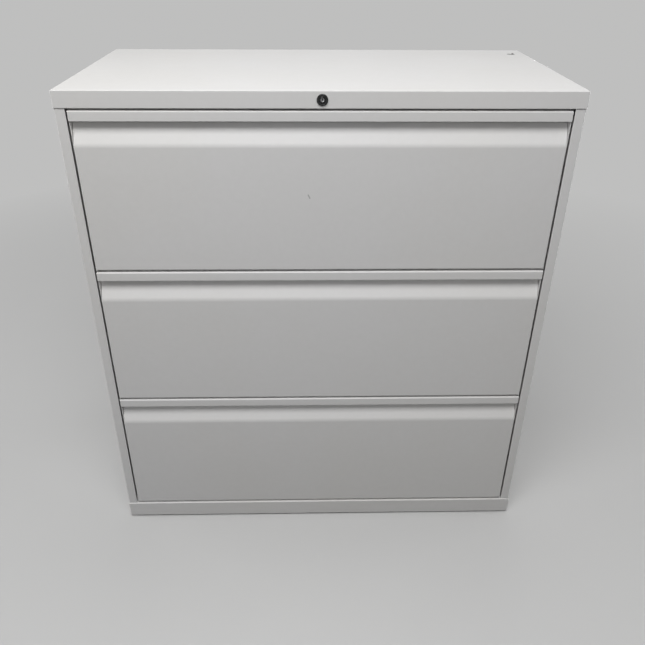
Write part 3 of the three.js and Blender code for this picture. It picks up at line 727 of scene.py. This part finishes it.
def metal_finish(name, bright, dull, grain, gloss):
    """Bare or plated metal with a rolled grain."""
    material, tree, shader = new_material(name)
    plate = place_group(
        tree,
        "Plated Metal",
        {
            "Bright": opaque(bright),
            "Dull": opaque(dull),
            "Grain": grain,
            "Gloss Low": gloss[0],
            "Gloss High": gloss[1],
        },
    )
    wear = place_group(tree, "Edge Wear", {"Amount": 0.5, "Reach": 0.0006})
    tree.links.new(mix(tree, wear["Mask"], plate["Colour"], opaque(bright)), shader["Base Color"])
    tree.links.new(plate["Roughness"], shader["Roughness"])
    tree.links.new(bumped(tree, plate["Height"], 0.05, 0.0001), shader["Normal"])
    shader["Metallic"].default_value = 1
    return material


def coated_finish(name, plain, worn, roughness, grain_scale):
    """A dark coating or moulding with a fine grain and rubbed edges."""
    material, tree, shader = new_material(name)
    place = object_place(tree)
    grain = noise(tree, place, grain_scale, 2.0)
    wear = place_group(tree, "Edge Wear", {"Amount": 0.7, "Reach": 0.0008, "Breakup": 500.0})
    cloud = remap(tree, noise(tree, place, 120.0, 4.0), (0.4, 0.7), (0.0, 0.5))
    share = calculate(tree, "MAXIMUM", wear["Mask"], cloud)
    tree.links.new(mix(tree, share, opaque(plain), opaque(worn)), shader["Base Color"])
    gloss = remap(tree, grain, (0.3, 0.7), (roughness - 0.06, roughness + 0.06))
    tree.links.new(gloss, shader["Roughness"])
    tree.links.new(bumped(tree, grain, 0.15, 0.0001), shader["Normal"])
    return material


def seen_rays(tree):
    """One for rays from the eye and for rays in gloss or glass, else nought."""
    rays = add_node(tree, "LightPath").outputs
    seen = calculate(tree, "MAXIMUM", rays["Is Camera Ray"], rays["Is Glossy Ray"])
    return calculate(tree, "MAXIMUM", seen, rays["Is Transmission Ray"])


def floor_finish(stage):
    """A pale floor that fades into the distance and returns little light to the object."""
    material, tree, shader = new_material("Floor")
    seen = seen_rays(tree)
    away = add_node(tree, "VectorMath", {0: object_place(tree)}, operation="LENGTH").outputs["Value"]
    fade = remap(tree, away, (stage.fade_start, stage.fade_end))
    near_tone = mix(tree, fade, opaque(stage.floor), (0, 0, 0, 1))
    tree.links.new(mix(tree, seen, opaque(stage.floor_bounce), near_tone), shader["Base Color"])
    tree.links.new(mix(tree, fade, (0, 0, 0, 1), opaque(stage.distance)), shader["Emission Color"])
    tree.links.new(seen, shader["Emission Strength"])
    shader["Roughness"].default_value = 0.9
    shader["Specular IOR Level"].default_value = 0
    return material


def studio_sky(stage):
    """A pale sky to the eye and in gloss, which lights the object only weakly."""
    world = bpy.data.worlds.new("Studio")
    world.use_nodes = True
    tree = world.node_tree
    tone = mix(tree, seen_rays(tree), opaque([stage.sky] * 3), opaque(stage.distance))
    tree.links.new(tone, tree.nodes["Background"].inputs["Color"])
    return world


def finishes():
    """The finishes by name, made when they are first needed."""
    if "Cabinet Paint" not in bpy.data.materials:
        make_finishes(bpy.context.scene.cabinet_colours)
    return bpy.data.materials


def make_finishes(colours):
    """All finishes of the cabinet."""
    low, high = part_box("top_panel")
    start = Vector((0, low.y, high.z)) + CHIP_PLACE
    chip = [(start, start + stroke, width, CHIP_STRENGTH) for stroke, width in CHIP_STROKES]
    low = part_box("top_drawer_front")[0]
    corner = Vector((0, low.y, low.z))
    scuff = [(corner + SCUFF_START, corner + SCUFF_END, SCUFF_WIDTH, SCUFF_STRENGTH)]
    paint_finish("Cabinet Paint", colours, dust=0.10)
    paint_finish("Top Paint", colours, dust=0.10, marks=chip)
    paint_finish("Drawer Paint", colours)
    paint_finish("Top Drawer Paint", colours, marks=scuff)
    metal_finish("Zinc Plate", colours.zinc, colours.zinc_dull, (300, 300, 300), (0.30, 0.46))
    metal_finish("Slide Steel", colours.slide, colours.slide_grease, (900, 25, 900), (0.24, 0.38))
    metal_finish("Lock Steel", colours.plug, colours.plug_worn, (900, 900, 900), (0.14, 0.24))
    coated_finish("Lock Black", colours.black, colours.black_worn, 0.24, 1500)
    coated_finish("Foot Nylon", colours.nylon, colours.black_worn, 0.55, 900)
    coated_finish("Counterweight Iron", colours.iron, colours.iron_rust, 0.70, 250)


# The cabinet's pieces

def skirted_pan(name, node, sizes):
    """A sheet with its skirt turned down all round and a lip turned in under the skirt."""
    low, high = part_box(node)
    obj = block(name, low, high)

    def on_outer_edge(point):
        on_faces = [near(point[axis], low[axis]) or near(point[axis], high[axis]) for axis in range(3)]
        return sum(on_faces) > 1

    with editing(obj):
        choose(obj, "FACE", lambda point: near(point.z, low.z))
        bpy.ops.mesh.inset(thickness=sizes.skirt_lip)
        bpy.ops.mesh.delete(type="FACE")
        choose(obj, "EDGE", on_outer_edge)
        bpy.ops.mesh.bevel(offset=sizes.case_fold, segments=FOLD_SEGMENTS, affect="EDGES")
    give_gauge(obj, sizes.gauge)
    return obj


class CABINET_OT_add_top(bpy.types.Operator):
    """Add the top: one folded cap with the hole for the lock in its front band"""

    bl_idname = "cabinet.add_top"
    bl_label = "Top"

    def execute(self, context):
        sizes = context.scene.cabinet_sizes
        obj = skirted_pan("top_cap", "top_panel", sizes)
        low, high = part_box("lock_housing")
        profile = [(sizes.lock_hole, 0), (sizes.lock_hole, high.y - low.y)]
        start = Vector((0, low.y, (low.z + high.z) / 2))
        cut(obj, turned("hole", profile, start, Y_AXIS, ROUND_SIDES))
        dress(obj, "Top Paint", "case", "top_panel")
        return {"FINISHED"}


class CABINET_OT_add_base(bpy.types.Operator):
    """Add the base: one folded plinth with a hole over each foot"""

    bl_idname = "cabinet.add_base"
    bl_label = "Base"

    def execute(self, context):
        sizes = context.scene.cabinet_sizes
        obj = skirted_pan("base_plinth", "base_pan", sizes)
        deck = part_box("base_pan")[1].z
        profile = [(sizes.foot_hole, -5 * sizes.gauge), (sizes.foot_hole, 5 * sizes.gauge)]
        for foot in FEET:
            place = middle_of(*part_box(f"{foot}_levelling_foot"))
            place.z = deck
            cut(obj, turned("hole", profile, place, Z_AXIS, SMALL_SIDES))
        dress(obj, "Cabinet Paint", "case", "base_pan")
        return {"FINISHED"}


class CABINET_OT_add_sides(bpy.types.Operator):
    """Add the side panels, each folded at the front into a stile and at the rear into a lip"""

    bl_idname = "cabinet.add_sides"
    bl_label = "Sides"

    def execute(self, context):
        sizes = context.scene.cabinet_sizes
        low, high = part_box("right_side_panel")
        outer, front, rear = high.x, low.y, high.y
        inner = outer - sizes.stile_inset
        step = inner + sizes.nose_step
        line = [
            (step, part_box("lock_link")[0].y - sizes.link_gap),
            (step, front + sizes.nose),
            (inner, front + sizes.nose),
            (inner, front),
            (outer, front),
            (outer, rear),
            (outer - sizes.rear_lip, rear),
        ]
        points = [Vector((x, y, (low.z + high.z) / 2)) for x, y in line]
        radii = [sizes.hem_fold] * 3 + [sizes.case_fold] * 2
        right = folded_sheet("right_side", points, (low.z - high.z) * Z_AXIS, radii, sizes.gauge)
        left = mirrored(right, "left_side")
        dress(left, "Cabinet Paint", "case", "left_side_panel")
        dress(right, "Cabinet Paint", "case", "right_side_panel")
        return {"FINISHED"}


class CABINET_OT_add_back(bpy.types.Operator):
    """Add the back panel, with a lip at its top and its bottom"""

    bl_idname = "cabinet.add_back"
    bl_label = "Back"

    def execute(self, context):
        sizes = context.scene.cabinet_sizes
        low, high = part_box("back_panel")
        line = [(low.y, low.z), (high.y, low.z), (high.y, high.z), (low.y, high.z)]
        points = [Vector((0, y, z)) for y, z in line]
        span = -(high.x - low.x) * X_AXIS
        obj = folded_sheet("back_sheet", points, span, [sizes.fold] * 2, sizes.gauge)
        dress(obj, "Cabinet Paint", "case", "back_panel")
        return {"FINISHED"}


class CABINET_OT_add_structure(bpy.types.Operator):
    """Add the uprights, the rails and the counterweight"""

    bl_idname = "cabinet.add_structure"
    bl_label = "Structure"

    def execute(self, context):
        sizes = context.scene.cabinet_sizes
        nodes = [f"{place}_upright" for place in FEET] + [f"{side}_base_rail" for side, _ in SIDES]
        dress_nodes(dict.fromkeys([*nodes, "top_front_rail"], "case"), "Zinc Plate", sizes.broken_edge)
        dress_nodes({"counterweight": "case"}, "Counterweight Iron", sizes.cast_edge)
        return {"FINISHED"}


def drawer_front(name, node, sizes):
    """Face, finger recess, top and grip strip from one sheet, with its ends turned back as plates."""
    low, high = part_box(node)
    gauge, half, face = sizes.gauge, high.x, low.y
    inner = half - FOLD_ROOM * sizes.end_fold
    crease = Vector((0, face, high.z - sizes.recess_drop))
    slope_top = Vector((0, high.y - 2 * gauge, high.z - gauge))
    lean = (slope_top - crease).angle(Z_AXIS)
    shoulder = Vector((0, face, crease.z - sizes.crease_fold * math.tan(lean / 2)))
    strip_top = Vector((0, face + gauge, high.z - gauge))
    strip_bottom = Vector((0, face + gauge, high.z - sizes.grip_height + gauge))
    hem_bottom = Vector((0, face + sizes.hem_depth - gauge, strip_bottom.z))
    hem_top = hem_bottom + Vector((0, 0, sizes.hem_rise - gauge))
    section = [shoulder, crease, slope_top, strip_top, strip_bottom, hem_bottom, hem_top]
    inside = sizes.fold - gauge
    backwards = (high.y - face) * Y_AXIS
    foot = Vector((0, face, low.z))

    obj = flange(name, foot, shoulder, 2 * half * X_AXIS)
    with editing(obj):
        for x in (-inner, inner):
            bpy.ops.mesh.select_all(action="SELECT")
            bpy.ops.mesh.bisect(plane_co=(x, 0, 0), plane_no=X_AXIS)
        choose(obj, "EDGE", lambda point: near(abs(point.x), half))
        extrude(backwards)
        choose(obj, "EDGE", lambda point: near(abs(point.x), half) and near(point.y, face))
        bpy.ops.mesh.bevel(offset=sizes.end_fold, segments=FOLD_SEGMENTS, affect="EDGES")
        choose(obj, "EDGE", at(foot))
        extrude(backwards)
        round_fold(obj, foot + backwards, foot, shoulder, sizes.fold)
        choose(obj, "EDGE", at(shoulder))
        extrude_along(section)
        radii = [CREASE_SHARE * sizes.crease_fold, inside, inside, sizes.hem_fold, sizes.hem_fold]
        round_folds(obj, section, radii)
        choose(obj, "EDGE", lambda point: near(point.z, shoulder.z) and near(abs(point.x), half))
        plate_rise = high.z - FOLD_ROOM * gauge - shoulder.z
        extrude(plate_rise * Z_AXIS)

        def on_strip(point):
            in_front = point.y < face + sizes.hem_depth and point.z > hem_top.z - sizes.hem_rise
            return in_front or point.z > high.z - sizes.fold

        def on_slope(point):
            return point.z > shoulder.z + PLACE_TOLERANCE and not on_strip(point)

        ends = ((on_strip, half), (on_slope, half - gauge - sizes.end_gap))
        for sign in (-1, 1):
            for test, end in ends:
                choose(obj, "EDGE", lambda point: near(point.x, sign * inner) and test(point))
                extrude_along([sign * inner * X_AXIS, sign * end * X_AXIS])
    give_gauge(obj, gauge)
    return obj


class CABINET_OT_add_fronts(bpy.types.Operator):
    """Add the drawer fronts"""

    bl_idname = "cabinet.add_fronts"
    bl_label = "Drawer Fronts"

    def execute(self, context):
        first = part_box("bottom_drawer_front")[0]
        pattern = drawer_front("front", "bottom_drawer_front", context.scene.cabinet_sizes)
        for drawer in DRAWERS:
            node = f"{drawer}_drawer_front"
            obj = copied(pattern, f"{drawer}_front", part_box(node)[0] - first)
            finish = "Top Drawer Paint" if drawer == "top" else "Drawer Paint"
            dress(obj, finish, f"{drawer}_drawer", node)
        bpy.data.objects.remove(pattern)
        return {"FINISHED"}


class CABINET_OT_add_drawers(bpy.types.Operator):
    """Add the trays, liners, hanging frames and lock catches of the drawers"""

    bl_idname = "cabinet.add_drawers"
    bl_label = "Drawer Insides"

    def execute(self, context):
        edge = context.scene.cabinet_sizes.broken_edge
        painted, plated = ("drawer_tray", "drawer_liner"), ("hanging_frame", "lock_catch")
        for drawer in DRAWERS:
            for parts, finish in ((painted, "Drawer Paint"), (plated, "Zinc Plate")):
                dress_nodes({f"{drawer}_{part}": f"{drawer}_drawer" for part in parts}, finish, edge)
        return {"FINISHED"}


def ball_cage(sizes):
    """A strip round the origin along Y, with balls that stand out of it above and below."""
    half = Vector((sizes.cage_width, sizes.cage_length, sizes.cage_gauge)) / 2
    strip = block("cage", -half, half)
    with editing(strip):
        bpy.ops.mesh.select_all(action="SELECT")
        bpy.ops.mesh.bevel(offset=sizes.broken_edge, segments=1, affect="EDGES")
    bpy.ops.object.select_all(action="DESELECT")
    bpy.ops.mesh.primitive_uv_sphere_add(
        segments=12,
        ring_count=8,
        radius=sizes.ball_radius,
        location=(0, sizes.ball_pitch / 2 - half.y, 0),
    )
    balls = started("balls")
    apply_modifier(
        balls,
        "ARRAY",
        count=int(sizes.cage_length / sizes.ball_pitch),
        use_relative_offset=False,
        use_constant_offset=True,
        constant_offset_displace=(0, sizes.ball_pitch, 0),
    )
    return join("cage", strip, balls)


class CABINET_OT_add_slides(bpy.types.Operator):
    """Add the three members of each slide, with the ball cages between the inner two"""

    bl_idname = "cabinet.add_slides"
    bl_label = "Slides"

    def execute(self, context):
        sizes = context.scene.cabinet_sizes
        pattern = ball_cage(sizes)
        for drawer in DRAWERS:
            middle_body = f"{drawer}_slide_middle"
            for side, sign in SIDES:
                slide = f"{drawer}_{side}_slide"
                bodies = {
                    f"{slide}_cabinet_member": "case",
                    f"{slide}_middle_member": middle_body,
                    f"{slide}_drawer_member": f"{drawer}_drawer",
                }
                dress_nodes(bodies, "Slide Steel", sizes.broken_edge)
                outer_low, outer_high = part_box(f"{slide}_middle_member")
                inner_low, inner_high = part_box(f"{slide}_drawer_member")
                across = (inner_low.x + inner_high.x) / 2 + sign * sizes.cage_shift
                along = outer_low.y + sizes.cage_inset + sizes.cage_length / 2
                room = (outer_high.z - sizes.slide_gauge - inner_high.z) / 2
                for row, level in (("upper", inner_high.z + room), ("lower", inner_low.z - room)):
                    place = Vector((across, along, level))
                    cage = copied(pattern, f"{drawer}_{side}_{row}_ball_cage", place)
                    dress(cage, "Zinc Plate", middle_body)
        bpy.data.objects.remove(pattern)
        return {"FINISHED"}


class CABINET_OT_add_lock(bpy.types.Operator):
    """Add the lock's housing and its plug with the keyway"""

    bl_idname = "cabinet.add_lock"
    bl_label = "Lock"

    def execute(self, context):
        sizes = context.scene.cabinet_sizes
        low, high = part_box("lock_housing")
        length = high.y - low.y
        place = Vector((0, low.y, (low.z + high.z) / 2))
        radius = (high.x - low.x) / 2
        # Radius and depth, from the bore round the flange to the barrel
        bore, barrel, groove, flange = 0.0058, 0.008, 0.0004, 0.0019
        housing = [
            (bore, length),
            (bore, 0.0012),
            (0.0062, 0.0005),
            (0.0067, groove),
            (0.0074, groove),
            (0.0078, 0.0),
            (radius - 0.0012, 0.0),
            (radius - 0.0004, 0.0003),
            (radius, 0.001),
            (radius, flange),
            (barrel, flange),
            (barrel, length),
            (bore, length),
        ]
        bezel = turned("lock_bezel", housing, place, Y_AXIS, ROUND_SIDES)
        dress(bezel, "Lock Black", "case", "lock_housing")
        plug_low, plug_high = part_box("lock_plug")
        face = plug_low.y
        sink = face - low.y
        # Radius and depth, from the bottom of the dish to the tail end
        edge, dish = 0.0055, 0.0023
        profile = [
            (NEARLY_ZERO, sink + dish),
            (0.0029, sink + 0.0002),
            (0.0033, sink),
            (0.0050, sink),
            (edge, sink + 0.0004),
            (edge, length),
            (NEARLY_ZERO, length),
        ]
        plug = turned("lock_core", profile, place, Y_AXIS, ROUND_SIDES)
        across, up = sizes.keyway_width / 2, sizes.keyway_height / 2
        near_corner = (-across, face - dish, place.z - up)
        cut(plug, block("keyway", near_corner, (across, face + sizes.keyway_depth, place.z + up)))
        half = sizes.tail_width / 2
        near_corner = (-half, high.y - sizes.tail_overlap, place.z - half)
        tail = block("tail", near_corner, (half, plug_high.y, place.z + half))
        plug = join("lock_core", plug, tail)
        dress(plug, "Lock Black", "lock_plug", "lock_plug")

        def in_dish(point):
            return (point - place).xz.length < 0.0031 and point.y < face + dish + PLACE_TOLERANCE

        paint_faces(plug, "Lock Steel", in_dish)
        return {"FINISHED"}


class CABINET_OT_add_lock_train(bpy.types.Operator):
    """Add the nut, cam, link, bellcrank, bar and guides that the lock works"""

    bl_idname = "cabinet.add_lock_train"
    bl_label = "Lock Train"

    def execute(self, context):
        bodies = {
            "lock_nut": "case",
            "lock_cam": "lock_plug",
            "lock_link": "lock_link",
            "lock_bellcrank": "bellcrank",
            "bellcrank_bracket": "case",
            "lock_bar": "lock_bar",
            "lower_lock_bar_guide": "case",
            "upper_lock_bar_guide": "case",
        }
        dress_nodes(bodies, "Zinc Plate", context.scene.cabinet_sizes.broken_edge)
        return {"FINISHED"}


def screw_head(sizes):
    """A pan head with a cross recess, at the origin and looking along Z."""
    radius, height = sizes.screw_radius, sizes.screw_height
    profile = [
        (NEARLY_ZERO, height),
        (0.55 * radius, height),
        (0.85 * radius, 0.72 * height),
        (radius, 0.2 * height),
        (radius, 0),
        (NEARLY_ZERO, 0),
    ]
    head = turned("screw_head", profile, Vector(), Z_AXIS, SMALL_SIDES)
    slot, arm = 0.14 * radius, 0.6 * radius
    floor = 0.35 * height
    cut(head, block("slot", (-arm, -slot, floor), (arm, slot, 2 * height)))
    cut(head, block("slot", (-slot, -arm, floor), (slot, arm, 2 * height)))
    return head


def screw_group(name, pattern, places, axis):
    """Copies of one screw head at each place, turned to look along an axis."""
    pieces = []
    for index, place in enumerate(places):
        alone(pattern)
        bpy.ops.object.duplicate(linked=False)
        head = bpy.context.active_object
        turn = Z_AXIS.rotation_difference(axis).to_matrix() @ Matrix.Rotation(index, 3, "Z")
        head.matrix_world = Matrix.Translation(place) @ turn.to_4x4()
        pieces.append(started("screw"))
    return join(name, *pieces)


class CABINET_OT_add_screws(bpy.types.Operator):
    """Add the screws that hold the back, the slides and the liners"""

    bl_idname = "cabinet.add_screws"
    bl_label = "Screws"

    def execute(self, context):
        sizes = context.scene.cabinet_sizes
        pattern = screw_head(sizes)
        low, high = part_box("right_side_panel")
        pitch = (high.z - low.z - 2 * sizes.screw_margin) / (BACK_SCREWS - 1)
        rows = [low.z + sizes.screw_margin + step * pitch for step in range(BACK_SCREWS)]
        column = low.x + sizes.screw_inset
        places = [Vector((sign * column, high.y, row)) for _, sign in SIDES for row in rows]
        dress(screw_group("back_screws", pattern, places, Y_AXIS), "Zinc Plate", "case")
        for drawer in DRAWERS:
            body = f"{drawer}_drawer"
            for side, sign in SIDES:
                low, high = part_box(f"{drawer}_{side}_slide_drawer_member")
                web = (low.x if sign > 0 else high.x) + sign * sizes.slide_gauge
                level = (low.z + high.z) / 2
                places = [Vector((web, low.y + reach, level)) for reach in SLIDE_SCREW_REACHES]
                name = f"{drawer}_{side}_slide_screws"
                dress(screw_group(name, pattern, places, sign * X_AXIS), "Zinc Plate", body)
            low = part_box(f"{drawer}_drawer_tray")[0]
            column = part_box(f"{drawer}_right_slide_drawer_member")[0].x - sizes.screw_inset
            corner = Vector((column, low.y + sizes.gauge, low.z))
            places = [
                corner * Vector((sign, 1, 1)) + rise * Z_AXIS
                for _, sign in SIDES
                for rise in LINER_SCREW_RISES
            ]
            screws = screw_group(f"{drawer}_liner_screws", pattern, places, Y_AXIS)
            dress(screws, "Zinc Plate", body)
        bpy.data.objects.remove(pattern)
        return {"FINISHED"}


def foot_pad(radius, place):
    """A nylon pad that stands on a place, with its rim rounded."""
    neck, height = 0.0085, 0.008
    profile = [
        (NEARLY_ZERO, 0),
        (radius - 0.002, 0),
        (radius - 0.0006, 0.0005),
        (radius, 0.0018),
        (radius, 0.0036),
        (radius - 0.001, 0.0044),
        (neck, 0.0072),
        (neck - 0.0013, height),
        (NEARLY_ZERO, height),
    ]
    return turned("pad", profile, place, Z_AXIS, ROUND_SIDES)


def foot_stem(height, pitch, place):
    """A threaded stem up to a height, over the pad that stands on a place."""
    start, root, crest = 0.0079, 0.0044, 0.005
    profile = [(NEARLY_ZERO, start), (0.0048, start)]
    for turn in range(int((height - 0.010) / pitch)):
        level = 0.009 + turn * pitch
        profile += [(root, level), (crest, level + 0.5 * pitch)]
    profile += [(root, height - 0.0008), (root - 0.0004, height), (NEARLY_ZERO, height)]
    return turned("stem", profile, place, Z_AXIS, SMALL_SIDES)


class CABINET_OT_add_feet(bpy.types.Operator):
    """Add the levelling feet, each a nylon pad on a threaded stem"""

    bl_idname = "cabinet.add_feet"
    bl_label = "Feet"

    def execute(self, context):
        low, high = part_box(f"{FEET[0]}_levelling_foot")
        place = middle_of(low, high)
        place.z = low.z
        pitch = context.scene.cabinet_sizes.thread_pitch
        pad = foot_pad((high.x - low.x) / 2, place)
        stem = foot_stem(high.z - low.z, pitch, place)
        for foot in FEET:
            node = f"{foot}_levelling_foot"
            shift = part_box(node)[0] - low
            dress(copied(pad, f"{foot}_pad", shift), "Foot Nylon", f"{foot}_foot", node)
            dress(copied(stem, f"{foot}_stem", shift), "Zinc Plate", f"{foot}_foot")
        bpy.data.objects.remove(pad)
        bpy.data.objects.remove(stem)
        return {"FINISHED"}


def add_lamp(stage, name, setting, mirror=1, aim=None):
    """A soft rectangular lamp at a setting's place, which shines at a point or straight down."""
    place = Vector(getattr(stage, f"{setting}_place")) * Vector((mirror, 1, 1))
    direction = aim - place if aim else -Z_AXIS
    bpy.ops.object.light_add(type="AREA", location=place)
    lamp = bpy.context.active_object
    lamp.name = lamp.data.name = name
    lamp.rotation_euler = direction.to_track_quat("-Z", "Y").to_euler()
    lamp.data.shape = "RECTANGLE"
    lamp.data.size, lamp.data.size_y = getattr(stage, f"{setting}_size")
    lamp.data.energy = getattr(stage, f"{setting}_power")


class CABINET_OT_add_stage(bpy.types.Operator):
    """Add the floor, the lamps, the sky and the camera"""

    bl_idname = "cabinet.add_stage"
    bl_label = "Stage"

    def execute(self, context):
        scene = context.scene
        stage = scene.cabinet_stage
        bpy.ops.object.select_all(action="DESELECT")
        bpy.ops.mesh.primitive_plane_add(size=stage.floor_size)
        floor = started("floor")
        floor.data.materials.append(floor_finish(stage))
        floor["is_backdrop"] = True
        aim = Vector((0, 0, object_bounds()[1][2] / 2))
        add_lamp(stage, "main_lamp", "main")
        add_lamp(stage, "rear_lamp", "rear")
        add_lamp(stage, "fill_lamp", "fill", aim=aim)
        add_lamp(stage, "back_lamp", "back", aim=aim)
        for side, sign in SIDES:
            add_lamp(stage, f"{side}_lamp", "side", mirror=sign, aim=aim)
        scene.world = studio_sky(stage)
        bpy.ops.object.camera_add(location=stage.eye)
        camera = context.active_object
        turn = Matrix.Rotation(stage.yaw, 3, "Z") @ Matrix.Rotation(math.pi / 2 - stage.pitch, 3, "X")
        camera.rotation_euler = (turn @ Matrix.Rotation(stage.roll, 3, "Z")).to_euler()
        camera.data.sensor_width = stage.sensor
        camera.data.lens = stage.lens
        scene.camera = camera
        scene.view_settings.view_transform = "Standard"
        return {"FINISHED"}


PIECE_OPERATORS = (
    CABINET_OT_add_top,
    CABINET_OT_add_base,
    CABINET_OT_add_sides,
    CABINET_OT_add_back,
    CABINET_OT_add_structure,
    CABINET_OT_add_fronts,
    CABINET_OT_add_drawers,
    CABINET_OT_add_slides,
    CABINET_OT_add_lock,
    CABINET_OT_add_lock_train,
    CABINET_OT_add_screws,
    CABINET_OT_add_feet,
    CABINET_OT_add_stage,
)


class CABINET_PT_pieces(bpy.types.Panel):
    """The cabinet's pieces, in the order they are added"""

    bl_label = "Filing Cabinet"
    bl_idname = "CABINET_PT_pieces"
    bl_space_type = "VIEW_3D"
    bl_region_type = "UI"
    bl_category = "Cabinet"

    def draw(self, context):
        for operator in PIECE_OPERATORS:
            self.layout.operator(operator.bl_idname)


CLASSES = (CabinetSizes, CabinetColours, CabinetStage, *PIECE_OPERATORS, CABINET_PT_pieces)


def register():
    """Register the classes and hang the settings on the scene."""
    for cls in CLASSES:
        bpy.utils.register_class(cls)
    bpy.types.Scene.cabinet_sizes = PointerProperty(type=CabinetSizes)
    bpy.types.Scene.cabinet_colours = PointerProperty(type=CabinetColours)
    bpy.types.Scene.cabinet_stage = PointerProperty(type=CabinetStage)


def unregister():
    """Take the settings off the scene and unregister the classes."""
    del bpy.types.Scene.cabinet_stage
    del bpy.types.Scene.cabinet_colours
    del bpy.types.Scene.cabinet_sizes
    for cls in reversed(CLASSES):
        bpy.utils.unregister_class(cls)


def main():
    """Build the cabinet on its frame."""
    register()
    for operator in PIECE_OPERATORS:
        family, action = operator.bl_idname.split(".")
        getattr(getattr(bpy.ops, family), action)()
    boxes = {"cad": CAD_BOUNDS, "visual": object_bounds()}
    boxes = {name: [list(corner) for corner in box] for name, box in boxes.items()}


if __name__ == "__main__":
    main()
